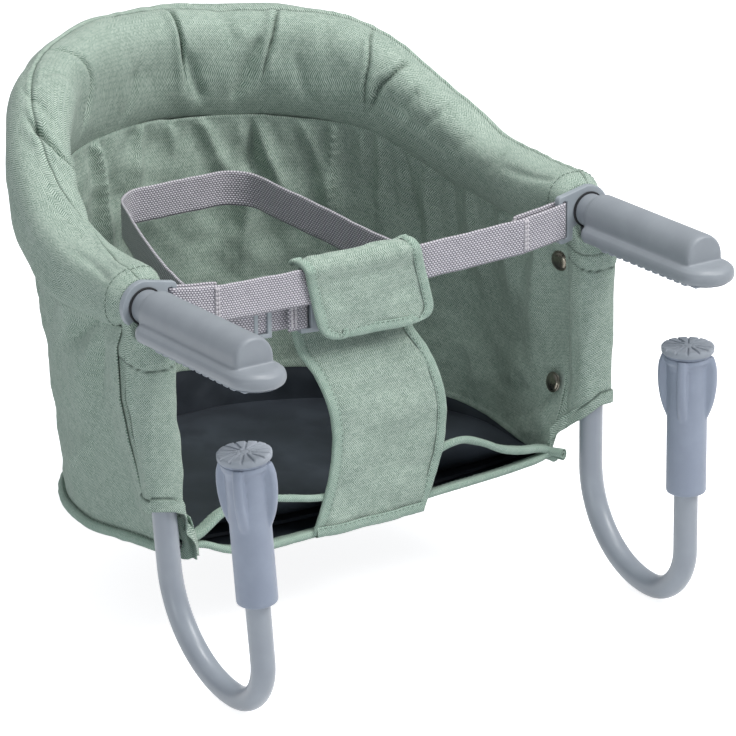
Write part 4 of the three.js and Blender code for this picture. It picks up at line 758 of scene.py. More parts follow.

# Creases across the roll: where each runs, its depth, its half width, and how much painted shade darkens its
# fold
CREASES = [
    ([(0.357, 0.0), (0.362, 0.06), (0.373, 0.14), (0.379, 0.2), (0.374, 0.25), (0.36, 0.3)], 3.6, 2.2, 0.2),
    ([(0.238, -0.03), (0.225, 0.0), (0.211, 0.033), (0.202, 0.07), (0.2, 0.2)], 5.4, 1.7, 0.6),
    ([(0.268, -0.04), (0.255, 0.0), (0.242, 0.035), (0.229, 0.06)], 2.6, 2.2, 0.1),
    ([(0.29, 0.0), (0.31, 0.1), (0.318, 0.2), (0.312, 0.28)], 1.6, 4.0, 0),
    ([(0.53, 0.02), (0.532, 0.07), (0.535, 0.15), (0.538, 0.22), (0.542, 0.27)], 6.0, 1.5, 0.8),
    ([(0.54, 0.2), (0.552, 0.26), (0.565, 0.32)], 4.6, 3.6, 0),
    ([(0.643, 0.03), (0.641, 0.08), (0.638, 0.15), (0.631, 0.22), (0.622, 0.28)], 5.2, 1.3, 0.7),
    ([(0.626, 0.16), (0.612, 0.23), (0.6, 0.28), (0.592, 0.33)], 5.4, 3.4, 0),
    ([(0.66, 0.2), (0.668, 0.26), (0.675, 0.31)], 2.4, 4.0, 0),
    ([(0.58, 0.05), (0.59, 0.12), (0.592, 0.2)], 2.0, 5.0, 0),
    ([(0.735, 0.0), (0.738, 0.08), (0.74, 0.16), (0.735, 0.25), (0.732, 0.32)], 3.4, 1.1, 0.7),
    ([(0.777, 0.03), (0.772, 0.09), (0.764, 0.16), (0.748, 0.24), (0.734, 0.31)], 5.4, 1.3, 0.8),
    ([(0.795, 0.12), (0.785, 0.19), (0.772, 0.26)], 3.0, 3.4, 0),
    ([(0.83, 0.05), (0.822, 0.13), (0.81, 0.2), (0.79, 0.27)], 2.8, 2.6, 0),
    ([(0.862, 0.1), (0.85, 0.18), (0.835, 0.25)], 1.8, 4.0, 0),
    ([(0.905, 0.08), (0.898, 0.16), (0.885, 0.23)], 1.6, 4.0, 0),
    ([(0.47, 0.22), (0.462, 0.28), (0.45, 0.33)], 2.0, 4.0, 0),
    ([(0.44, 0.02), (0.437, 0.1), (0.43, 0.18)], 1.0, 6.0, 0),
    ([(0.69, 0.05), (0.693, 0.12), (0.69, 0.2)], 1.6, 5.0, 0),
    ([(0.13, 0.12), (0.15, 0.2), (0.16, 0.28)], 2.0, 5.0, 0),
    ([(0.06, 0.72), (0.12, 0.76), (0.2, 0.78), (0.3, 0.75)], 2.0, 6.0, 0),
    ([(0.015, 0.86), (0.05, 0.9), (0.1, 0.9)], 1.8, 4.0, 0),
    ([(0.985, 0.1), (0.95, 0.14), (0.91, 0.16)], 1.8, 4.0, 0),
    ([(0.45, 0.6), (0.47, 0.75), (0.46, 0.9)], 1.8, 6.0, 0),
    ([(0.58, 0.62), (0.57, 0.75), (0.575, 0.88)], 1.8, 6.0, 0),
    ([(0.33, 0.65), (0.32, 0.78), (0.34, 0.9)], 1.6, 6.0, 0),
    ([(0.7, 0.6), (0.69, 0.75), (0.7, 0.9)], 1.8, 6.0, 0),
]
# Where the filling stands proud between the creases: share along, turn, rise and reach
SWELLS = [
    (0.285, 0.13, 3.4, 30), (0.45, 0.13, 2.2, 45), (0.588, 0.06, -2.4, 26), (0.69, 0.15, 2.8, 26),
    (0.82, 0.16, 2.6, 32), (0.91, 0.12, 1.6, 34), (0.12, 0.08, 1.6, 40), (0.5, 0.78, 2.0, 60),
]


def crease_depth(shares, turns, length):
    """How far the creases press the roll in, how far it swells between them, and the painted shade along
    their folds.
    """
    press = np.zeros(shares.shape)
    dark = np.zeros(shares.shape)
    at = np.stack([shares * length, turns * ROLL_GIRTH], axis=-1)
    for route, depth, width, shade in CREASES:
        line = through(np.array(route) * (length, ROLL_GIRTH), 40)
        ahead = directions(line)
        for wrap in (0, ROLL_GIRTH):
            offset = at[..., None, :] - (line + (0, wrap))[None, None]
            gap = np.linalg.norm(offset, axis=-1)
            near = gap.argmin(axis=-1)
            distance = gap.min(axis=-1)
            aside = np.take_along_axis(offset, near[..., None, None], axis=2)[..., 0, :]
            side = ahead[near, 0] * aside[..., 1] - ahead[near, 1] * aside[..., 0]
            travelled = near / 40
            fade = smooth(travelled, -0.05, 0.16) * (1 - 0.9 * smooth(travelled, 0.75, 1.0))
            press -= 0.8 * depth * fade * bell(distance, width)
            lift = np.where(side > 0, 0.42, 0.26)
            press += lift * depth * fade * bell(distance - 3.2 * width, 2.6 * width)
            # Painted shade: darkens the cloth along each crease's fold, where its shadow falls.
            dark += shade * fade * bell(distance, 0.75)
    for share, turn, rise, reach in SWELLS:
        distance = np.hypot((shares - share) * length, (turns - turn) * ROLL_GIRTH)
        press += rise * bell(distance, reach)
    return press, dark


def roll_rows():
    """Places along the roll, close together where a crease runs across it."""
    fine = np.linspace(0, 1, 3001)
    density = np.full(fine.shape, 1 / 2.3)
    for route, _, width, _ in CREASES:
        if width < 3:
            first = min(point[0] for point in route)
            last = max(point[0] for point in route)
            outside = np.maximum(np.maximum(first - fine, fine - last), 0) * ROLL_LENGTH
            density = np.maximum(density, (1 / 0.85) * bell(outside, 6))
    total = np.concatenate([[0], np.cumsum((density[1:] + density[:-1]) / 2)])
    count = int(total[-1] * ROLL_LENGTH / (len(fine) - 1))
    return np.interp(np.linspace(0, total[-1], count + 1), total, fine)


def padded_roll():
    whole = hoop_plan(ROLL_FRONT, 800)
    shares = roll_rows()
    plan = on_line(whole, shares)
    out = unit(on_line(outwards(whole), shares))
    length = lengths(plan)[-1]
    seam_turn = np.interp(shares, *zip(*SEAM_TURNS))
    near_seam = [-0.03, -0.022, -0.015, -0.01, -0.006, -0.003, 0, 0.003, 0.006, 0.01, 0.015, 0.022, 0.03]
    away = np.linspace(0.04, 0.96, 84)
    offsets = np.sort(np.array([*near_seam, *away]) % 1)
    turns = seam_turn[:, None] + offsets[None]
    y = np.broadcast_to(plan[:, 1][:, None], turns.shape)
    aside, rise = roll_section(y, turns)
    end = np.minimum(shares, 1 - shares)[:, None] * length
    neck = 1 - 0.3 * (1 - smooth(end, -4, 16)) ** 1.6
    aside = aside * neck
    rise = rise * neck - 2.0 * (1 - neck)
    heights = roll_size(ROLL_MIDDLES, y) + rise
    grid = np.stack([plan[:, 0][:, None] + out[:, 0][:, None] * aside,
                     plan[:, 1][:, None] + out[:, 1][:, None] * aside, heights], axis=-1)
    centre = np.stack([plan[:, 0], plan[:, 1], roll_size(ROLL_MIDDLES, plan[:, 1])], axis=-1)[:, None]
    normals = grid_normals(grid, centre)
    from_seam = (offsets[None] + 0.5) % 1 - 0.5
    seam_gap = from_seam * ROLL_GIRTH
    # folds holds the painted shade along the creases.
    press, folds = crease_depth(np.broadcast_to(shares[:, None], turns.shape), turns % 1, length)
    press += rumple(grid, 38, 1) * 2.2 + rumple(grid, 15, 2) * 0.4 + rumple(grid, 6, 3) * 0.08
    press += rumple(grid, 9, 5) * 0.9 * bell(seam_gap, 7)
    press -= 1.0 * bell(seam_gap, 0.8)
    press += 1.0 * bell(seam_gap + 3.0, 2.0)
    hem = bell(end - ROLL_HEM, 0.8)
    press -= 0.9 * hem
    press = press * smooth(end, 0, 3)
    grid = grid + normals * press[..., None]
    # Dark seam and hem lines, with the creases' painted shade added in.
    dark = np.clip(0.7 * bell(seam_gap, 0.5) + 0.4 * hem * (end > 2) + folds, 0, 1)
    around = np.append(offsets, 1)[None] * ROLL_GIRTH
    uv = np.stack(np.broadcast_arrays((shares * length)[:, None], around), axis=-1)
    shape = Shape()
    shape.grid(grid, uv, round_it=True, seam=dark)
    for row in (0, -1):
        ring = grid[row]
        middle = np.array([plan[row][0], plan[row][1], ARM_HEIGHT])
        rows = [ring]
        for share, sink in ROLL_END_RINGS:
            step = middle + (ring - middle) * share
            step[:, 1] += sink
            if share < 0.6:
                angle = np.arctan2(ring[:, 2] - middle[2], ring[:, 0] - middle[0])
                step[:, 0] = middle[0] + ROLL_MOUTH * np.cos(angle)
                step[:, 2] = middle[2] + ROLL_MOUTH * np.sin(angle)
            rows.append(step)
        shape.grid(np.array(rows), round_it=True)
    seam = int(np.argmin(np.abs(from_seam)))
    shape.rods(stitched(grid[8:-8, seam], normals[8:-8, seam], *SEAM_STITCH), mark=1)
    for row in hem_rows(end[:, 0]):
        line = np.vstack([grid[row], grid[row][:1]])
        lift = np.vstack([normals[row], normals[row][:1]])
        shape.rods(stitched(line, lift, *HEM_STITCH), mark=1)
    thing = shape.piece("roll_cover", [SAGE, STITCH], "seat_frame", "seat_fabric", ["padded_roll"])


def hem_rows(end):
    half = len(end) // 2
    first = int(np.argmin(np.abs(end[:half] - ROLL_HEM)))
    last = half + int(np.argmin(np.abs(end[half:] - ROLL_HEM)))
    return first, last


# Seat walls: outer cloth and liner

# Folds of the liner and the outer cloth: route as (share round, share up), depth outwards, half width
LINER_FOLDS = [
    ([(0.405, 0.88), (0.414, 0.78), (0.42, 0.6), (0.425, 0.4)], -4.0, 0.010),
    ([(0.486, 0.88), (0.475, 0.76), (0.46, 0.6)], -2.6, 0.008),
    ([(0.52, 0.9), (0.521, 0.82), (0.522, 0.74)], -2.2, 0.007),
    ([(0.553, 0.9), (0.565, 0.8), (0.58, 0.7), (0.595, 0.6)], -2.4, 0.008),
    ([(0.612, 0.9), (0.612, 0.8), (0.606, 0.7), (0.6, 0.62)], 3.2, 0.007),
    ([(0.6, 0.66), (0.592, 0.52), (0.583, 0.36)], -5.0, 0.014),
    ([(0.614, 0.84), (0.628, 0.72), (0.645, 0.6), (0.66, 0.5)], -2.8, 0.009),
    ([(0.7, 0.92), (0.693, 0.78), (0.683, 0.62), (0.675, 0.4)], -3.6, 0.008),
    ([(0.66, 0.88), (0.678, 0.72), (0.69, 0.5)], -2.0, 0.008),
    ([(0.725, 0.93), (0.725, 0.82), (0.72, 0.66)], -2.4, 0.006),
    ([(0.748, 0.92), (0.742, 0.74), (0.736, 0.5)], -3.4, 0.007),
    ([(0.768, 0.92), (0.776, 0.74), (0.784, 0.5)], 2.2, 0.007),
    ([(0.802, 0.9), (0.796, 0.7), (0.79, 0.45)], -2.8, 0.008),
    ([(0.83, 0.9), (0.832, 0.7), (0.835, 0.4)], 1.8, 0.008),
    ([(0.852, 0.9), (0.858, 0.7), (0.865, 0.4)], -2.2, 0.008),
    ([(0.9, 0.92), (0.905, 0.7), (0.915, 0.45)], -2.0, 0.010),
    ([(0.955, 0.92), (0.95, 0.6), (0.93, 0.3)], -2.6, 0.012),
    ([(0.985, 0.3), (0.94, 0.16), (0.9, 0.12)], 2.4, 0.012),
    ([(0.35, 0.9), (0.345, 0.7), (0.34, 0.4)], -2.4, 0.010),
    ([(0.3, 0.9), (0.305, 0.6), (0.3, 0.3)], -2.2, 0.010),
    ([(0.2, 0.9), (0.21, 0.6), (0.2, 0.3)], -2.4, 0.012),
    ([(0.1, 0.9), (0.11, 0.6), (0.1, 0.3)], -2.4, 0.012),
    ([(0.44, 0.5), (0.47, 0.3), (0.5, 0.15)], -3.0, 0.014),
]
# Folds that hang all the way down: the shares round at three heights, the depth and the half width
HANGING_FOLDS = [
    (0.22, 0.225, 0.22, -2.2, 0.010), (0.27, 0.275, 0.28, 1.6, 0.012), (0.33, 0.335, 0.34, -2.4, 0.010),
    (0.38, 0.385, 0.38, -2.2, 0.009), (0.43, 0.425, 0.43, 1.8, 0.010), (0.475, 0.47, 0.475, -2.6, 0.009),
    (0.525, 0.53, 0.53, -2.4, 0.010), (0.57, 0.575, 0.57, 1.8, 0.010), (0.62, 0.615, 0.62, -2.4, 0.009),
    (0.67, 0.665, 0.66, -2.2, 0.010), (0.73, 0.725, 0.72, 1.6, 0.012), (0.78, 0.77, 0.78, -2.2, 0.010),
]
OUTER_FOLDS = [
    ([(0.03, 0.98), (0.07, 0.85), (0.12, 0.72), (0.19, 0.5)], -3.4, 0.010),
    ([(0.034, 0.9), (0.055, 0.8), (0.075, 0.66), (0.1, 0.4)], -3.0, 0.009),
    ([(0.125, 0.95), (0.16, 0.75), (0.2, 0.55)], -2.4, 0.012),
    ([(0.06, 0.96), (0.1, 0.88), (0.15, 0.82)], 1.8, 0.008),
    ([(0.05, 0.6), (0.055, 0.4), (0.06, 0.2)], 1.5, 0.010),
    ([(0.12, 0.3), (0.17, 0.14), (0.2, 0.04)], 1.5, 0.014),
    *[([(top, 0.95), (middle, 0.6), (low, 0.2)], deep, width)
      for top, middle, low, deep, width in HANGING_FOLDS],
    ([(0.97, 0.98), (0.93, 0.85), (0.88, 0.72), (0.81, 0.5)], -3.2, 0.010),
    ([(0.966, 0.9), (0.945, 0.8), (0.925, 0.66), (0.9, 0.4)], -2.8, 0.009),
]
WALL_ROUND = 790.0
WALL_HEIGHT = 190.0


def fold_depth(share, up, folds):
    """Hanging folds: each is deepest at its start and opens out as it falls."""
    depth = np.zeros(share.shape)
    at = np.stack([share * WALL_ROUND, up * WALL_HEIGHT], axis=-1)
    for route, deep, width in folds:
        line = through(np.array(route) * (WALL_ROUND, WALL_HEIGHT), 20)
        gap = np.linalg.norm(at[..., None, :] - line[None, None], axis=-1)
        travelled = gap.argmin(axis=-1) / 20
        fade = 1 - 0.9 * smooth(travelled, 0.5, 1.0)
        spread = width * WALL_ROUND * (0.5 + 1.0 * travelled)
        distance = gap.min(axis=-1)
        depth += 1.7 * deep * fade * np.exp(-((distance / spread) ** 1.4))
        depth -= 0.5 * deep * fade * bell(distance - 2.2 * spread, 1.3 * spread)
    return depth


# How high the dark floor cloth is turned up the liner, as a share of its height
TURN_UP_SHARES = [(0, 0.004), (0.09, 0.03), (0.18, 0.055), (0.33, 0.1), (0.45, 0.13), (0.5, 0.132),
                  (0.56, 0.116), (0.665, 0.098), (0.816, 0.055), (0.9, 0.03), (1, 0.004)]
TURN_UP_COLUMNS = 18


def wall_cloth(name, node, first, last, inner):
    steps = max(int((last - first) * 420), 60)
    shares = np.linspace(max(first - PANEL_LAP, 0), min(last + PANEL_LAP, 1), steps)
    reach = wall_reach(shares, inner)[:, None]
    if inner:
        turn_up = np.interp(shares, *zip(*TURN_UP_SHARES))[:, None]
        low = turn_up * np.linspace(0, 1, TURN_UP_COLUMNS)[None]
        high = turn_up + (reach - turn_up) * np.linspace(0, 1, 96)[None, 1:]
        up = np.concatenate([low, high], axis=1)
    else:
        up = reach * np.linspace(0, 1, 108)[None]
    share = np.broadcast_to(shares[:, None], up.shape)
    grid = wall_point(share, up, inner)
    front = np.minimum(share, 1 - share) * WALL_ROUND
    if inner:
        grid[..., 0] += np.sign(grid[..., 0]) * liner_push(grid[..., 2], front)
    else:
        grid = held_out(grid, front)
    flat = grid.copy()
    normals = grid_normals(grid, SEAT_MIDDLE)
    depth = fold_depth(share, up, LINER_FOLDS if inner else OUTER_FOLDS)
    depth = depth + rumple(grid, 30, 7 + inner) * 3.2 + rumple(grid, 11, 9 + inner) * 0.9
    limit = 9.0 * smooth(up, 0.3, 0.9) + 1.4
    depth = np.minimum(depth, limit) if inner else np.maximum(depth, -limit)
    depth = depth * smooth(up, 0, 0.08) * smooth(np.minimum(share, 1 - share), 0, 0.025)
    depth = depth * (1 - smooth(up / reach, 0.97, 1))
    dark = np.zeros(up.shape)
    if inner:
        seam_gap = (up - turn_up) * WALL_HEIGHT
        depth = depth - 0.7 * bell(seam_gap - 1.6, 1.2) * smooth(turn_up, 0.01, 0.03)
        dark = 0.5 * bell(seam_gap - 0.5, 0.6)
        navy = np.arange(up.shape[1] - 1) < TURN_UP_COLUMNS - 1
        marks = np.broadcast_to(navy, (steps - 1, up.shape[1] - 1)) * 1
    else:
        depth = depth + 0.8 * (1 - smooth(front, 0, 5))
        marks = 0
    grid = grid + normals * depth[..., None]
    uv = np.stack([share * WALL_ROUND, up * WALL_HEIGHT], axis=-1)
    shape = Shape()
    shape.grid(grid, uv, seam=dark, mark=marks)
    thing = shape.piece(name, [SAGE, NAVY], "seat_frame", "seat_fabric", [node], thick=1.2)
    declare_sheet(flat)


def declare_sheet(grid):
    """Works out the size that a cloth was cut to, from its shape without folds, and keeps none of it."""
    down = np.linalg.norm(np.diff(grid, axis=0), axis=-1).sum(axis=0).max() * MM
    across = np.linalg.norm(np.diff(grid, axis=1), axis=-1).sum(axis=1).max() * MM
    sides = np.cross(grid[1:, :-1] - grid[:-1, :-1], grid[:-1, 1:] - grid[:-1, :-1])
    area = float(np.linalg.norm(sides, axis=-1).sum()) * MM * MM
    area = min(area, down * across)


def seat_walls():
    ends = (0.0, PANEL_SHARE, 1 - PANEL_SHARE, 1.0)
    for side, first, last in zip(("left", "back", "right"), ends, ends[1:]):
        node = "back_panel" if side == "back" else f"{side}_side_panel"
        wall_cloth(f"{side}_outer_cloth", node, first, last, 0)
        wall_cloth(f"{side}_liner", node, first, last, 1)


padded_roll()
seat_walls()


# Bindings: a folded strip sewn over an edge

def binding(shape, edge, inward, up, width, thick):
    """edge is the edge's line, inward the way into the cloth, and up the way out of its face."""
    edge = np.asarray(edge, float)
    inward = unit(np.broadcast_to(np.asarray(inward, float), edge.shape))
    up = unit(np.broadcast_to(np.asarray(up, float), edge.shape))
    half = thick / 2
    face = [(width, half * 0.75), (width * 0.8, half), (width * 0.35, half * 1.1), (0.6, half * 1.05),
            (-0.5, half * 0.7)]
    section = [*face, (-0.9, 0), *[(deep, -high) for deep, high in face[::-1]]]
    wave = rumple(edge, 7, 31) * 0.5
    rows = []
    for deep, high in section:
        rows.append(edge + inward * deep + up * (high + np.sign(high) * np.abs(wave) * 0.6)[:, None])
    shape.grid(np.stack(rows, axis=1))
    line = edge + inward * (width - 1.2)
    for side in (1, -1):
        shape.rods(stitched(line + up * side * half * 0.9, up * side, *BINDING_STITCH), mark=1)


# Floor: two layers of coated cloth, bound in sage along the front, and the welt round the foot

# Each layer's front edge, in x and z
UPPER_EDGE = [(-152, -158), (-140, -154), (-122, -143), (-104, -138.5), (-88, -139.5), (-72, -143),
              (-56, -146.5), (-42, -149), (-10, -152), (25, -148), (48, -139), (62, -133.5), (78, -132),
              (94, -138), (111, -147), (128, -151.5), (142, -153), (153, -156)]
LOWER_EDGE = [(-146, -160), (-137, -160.5), (-128, -163), (-118, -168), (-100, -173.5), (-60, -174.5),
              (-21, -172.5), (20, -168.5), (45, -166.5), (80, -165), (110, -163.5), (135, -161.5),
              (153, -159)]
# The right corner's rolled end: where it starts, and its way
CURL_START = (155.0, 22.0, -157.0)
CURL_WAY = (3.5, -9.5, 0.4)
# The left corner's hanging fold: its middle line, and its half width down it
FOLD_LINE = [(-150, 20, -136), (-148.5, 20, -146), (-147, 19.5, -153), (-145.6, 19, -158),
             (-146.2, 19, -162), (-147, 19, -167)]
FOLD_WIDTHS = [5.5, 6.8, 6.4, 3.6, 5.4, 6.6]


def corner_curl(shape):
    """The bindings' loose end at the right corner, rolled up like a little scroll."""
    way = np.array(CURL_WAY)
    ahead = unit(way)
    side = unit(np.cross(ahead, (0, 0, 1.0)))
    over = np.cross(side, ahead)
    turns = np.linspace(0, 1.75 * TURN, 44)
    radius = 0.95 * np.linspace(1.4, 4.4, 44)
    grid = []
    for share in np.linspace(0, 1, 12):
        middle = CURL_START + way * share
        spread = radius * (1 + 0.12 * share)
        ring = side * (spread * np.cos(turns))[:, None] + over * (spread * np.sin(turns))[:, None]
        grid.append(middle + ring)
    grid = np.array(grid)
    inner = grid - unit(grid - grid.mean(axis=1, keepdims=True)) * 0.9
    loop = np.concatenate([grid, inner[:, ::-1]], axis=1)
    shape.grid(loop, round_it=True)
    for row in (0, -1):
        shape.grid(np.stack([grid[row], inner[row]]))


def corner_fold(shape):
    """The panel's cloth pinched into the floor's left corner, with its raw end hanging below."""
    line = through(FOLD_LINE, 40)
    wide = np.interp(np.linspace(0, 1, len(line)), np.linspace(0, 1, len(FOLD_WIDTHS)), FOLD_WIDTHS)
    turns = TURN * np.arange(30) / 30
    across = np.cos(turns)
    pleat = 1.5 * np.cos(across * 5.5 + 0.8) + 0.8 * np.sin(across * 9)
    ways = np.array([(0.82, -0.57, 0.0), (-0.57, -0.82, 0.0)])
    grid = line[:, None] + wide[:, None, None] * across[None, :, None] * ways[0]
    grid = grid + (1.0 * np.sin(turns) + pleat * 0.9)[None, :, None] * ways[1]
    shape.grid(grid, round_it=True, caps=True)


def floor_height(x, y, top):
    middle = 1 - (x / FLOOR_HALF) ** 2
    sag = FLOOR_SAG * np.maximum(middle, 0) * (1 - smooth(y, FLOOR_WIDEST, FLOOR_BACK))
    return top - sag


def floor_cloth(name, node, top, edge, depth, reach):
    """A floor layer from its front edge's line, which dies away into the flat floor behind it."""
    front = through(edge, 120)
    plan = floor_plan(FLOOR_FRONT, 400, 1.4)
    grid = []
    rows = np.linspace(0, 1, 90)
    across = np.linspace(0, 1, 121)
    for share in rows**1.15:
        y = FLOOR_FRONT + share * (FLOOR_BACK - 1.6 - FLOOR_FRONT)
        left = np.interp(y, *plan[: 201].T[::-1])
        right = np.interp(y, *plan[200:][::-1].T[::-1])
        x = between(left, right, across)
        rest = floor_height(x, np.full_like(x, y), top)
        lift = np.interp(between(front[0, 0], front[-1, 0], across), front[:, 0], front[:, 1])
        fade = (1 - smooth(y - FLOOR_FRONT, 0, depth)) ** 1.2
        z = rest + (lift - floor_height(x, np.full_like(x, FLOOR_FRONT), top)) * fade
        grid.append(np.stack([x, np.full_like(x, y), z], axis=1))
    grid = np.array(grid)
    flat = grid.copy()
    inside = smooth(np.minimum(rows, 1 - rows), 0, 0.06)[:, None]
    inside = inside * smooth(np.minimum(across, 1 - across), 0, 0.05)[None]
    if node == "floor_lower_layer":
        aside = np.minimum(grid[..., 0] - grid[:, :1, 0], grid[:, -1:, 0] - grid[..., 0])
        grid[..., 2] += 4.8 * (1 - smooth(aside, 0, 9)) * smooth(grid[..., 1], FLOOR_FRONT, FLOOR_FRONT + 6)
    grid[..., 2] += (rumple(grid, 40, 12) * 2.2 + rumple(grid * (1, 0.4, 1), 16, 13) * 1.1) * inside * reach
    shape = Shape()
    shape.grid(grid)
    thing = shape.piece(name, NAVY, "seat_frame", "floor_cloth", [node], thick=1.0)
    return thing, flat, grid[0], grid[3] - grid[0]


def floor_and_welt():
    upper = floor_cloth("floor_top_cloth", "floor_upper_layer", FLOOR_TOP - 1.2, UPPER_EDGE, 46, 1.0)
    lower = floor_cloth("floor_under_cloth", "floor_lower_layer", FLOOR_TOP - 7.4, LOWER_EDGE, 30, 0.4)
    for level, (thing, flat, line, inward) in (("upper", upper), ("lower", lower)):
        shape = Shape()
        up = np.cross(np.gradient(line, axis=0), inward)
        up *= np.sign(up[:, 2:3])
        binding(shape, line, inward, up, 9.0, 4.4)
        if level == "upper":
            corner_curl(shape)
            corner_fold(shape)
        strip = shape.piece(f"{level}_floor_binding", [TRIM, STITCH], "seat_frame", "seat_fabric")
        declare_sheet(flat)
    welt = floor_plan(FLOOR_FRONT + 3, 260, 5.4)
    height = FLOOR_TOP - 3.4 + 3.0 * (1 - smooth(welt[:, 1], FLOOR_FRONT, CORNER_END))
    line = np.column_stack([welt, height])
    line[:, 2] += rumple(line, 30, 21) * 1.2
    shape = Shape()
    girth = rod(line, 3.4 + rumple(line, 9, 22) * 0.5, 14)
    uv = np.stack(np.meshgrid(np.arange(15) * 1.6, lengths(line)), axis=-1)[..., ::-1]
    shape.grid(girth, uv, round_it=True, caps=True)
    shape.rods(stitched(line + (0, 0, 4.0), (0, 0, 1), *SEAM_STITCH), mark=1)
    shape.piece("bottom_welt", [TRIM, STITCH], "seat_frame", "seat_fabric", ["bottom_piping"])


floor_and_welt()


# Hook pockets: the panels' front edges, wrapped round the hooks and hemmed down to the floor's corners

PIVOT = np.array([ARM_X, 8.0, -28.0])
LEFT_SWING = math.radians(4.5)
POCKET_CORNER = -168.0
POCKET_TOP = 0.0
HEM_WIDTH = 9.5
# The heights between which a pocket's cloth was to turn from the seat's motion to the hook's; they are passed
# to the piece, which only fixes the pocket in place and binds it to neither
POCKET_FIXED = -12.0
POCKET_FREE = -44.0
# The hem's height, by millimetres round the pocket from the floor's corner
HEM_PLACES = [0, 6, 12.6, 20.6, 29, 36, 52, 66, 80]
HEM_HEIGHTS = {"left": [-168, -168, -165, -140, -124, -121, -121, -122, -124],
               "right": [-156, -148, -139.5, -130.7, -124, -120.5, -121, -122, -123]}


def left_side(points, mirror=True):
    """Takes a right hook's points across to the left hook, which hangs a little inwards."""
    points = np.array(points, float)
    if mirror:
        points[..., 0] *= -1
    else:
        points[..., 0] -= 2 * ARM_X
    pivot = PIVOT * (-1, 1, 1)
    turned = points - pivot
    c = math.cos(LEFT_SWING)
    s = math.sin(LEFT_SWING)
    x = turned[..., 0] * c - turned[..., 2] * s
    z = turned[..., 0] * s + turned[..., 2] * c
    return np.stack([x, turned[..., 1], z], axis=-1) + pivot


def hull(points):
    """The outline round a set of points, anticlockwise."""
    points = sorted(map(tuple, points))
    chains = []
    for run in (points, points[::-1]):
        chain = []
        for p in run:
            while len(chain) > 1:
                (ax, ay), (bx, by) = chain[-2:]
                if (bx - ax) * (p[1] - ay) - (by - ay) * (p[0] - ax) > 1e-9:
                    break
                chain.pop()
            chain.append(p)
        chains += chain[:-1]
    return np.array(chains)


def wrap_outline(z, side, count):
    """The wrapped cloth at one height: round the tube, and drawn back to the front edge of the wall."""
    lean = math.tan(LEFT_SWING) if side == "left" else 0
    rise = smooth(z, -123, -38)
    gather = smooth(z, -16, POCKET_TOP)
    wide = between(12.9, 15, rise) * (1 - 0.12 * gather)
    deep = between(11.7, 12.8, rise) * (1 - 0.08 * gather)
    middle = ARM_X - lean * max(PIVOT[2] - z, 0)
    angles = TURN * np.arange(160) / 160
    c = np.cos(angles)
    s = np.sin(angles)
    x = middle + wide * np.sign(c) * np.abs(c) ** 0.72
    y = PIVOT[1] + deep * np.sign(s) * np.abs(s) ** 0.72
    up = (z - CORNER_HEIGHT) / (ROLL_MIDDLES[0] - CORNER_HEIGHT)
    tails = [wall_point(1.0, max(up, 0), inner)[..., 0] for inner in (0, 1)]
    if side == "left":
        tails = [tail - 2 * FLOOR_SHIFT * (1 - up) for tail in tails]
    flare = (7.5 if side == "left" else 3.0) * smooth(-z, 118, 150)
    outer_tip = (tails[0] + edge_push(side, z) - 0.6, 21.5)
    inner_tip = (tails[1] + 1.0 + liner_push(z, 0) - flare, 26.0 - 0.7 * flare)
    loop = hull(np.vstack([np.stack([x, y], axis=1), outer_tip, inner_tip]))
    first = int(np.argmax(loop[:, 0] - 0.4 * loop[:, 1]))
    loop = np.roll(loop, -first, axis=0)[::-1]
    return spaced(np.vstack([loop[-1:], loop]), count)[:-1], middle


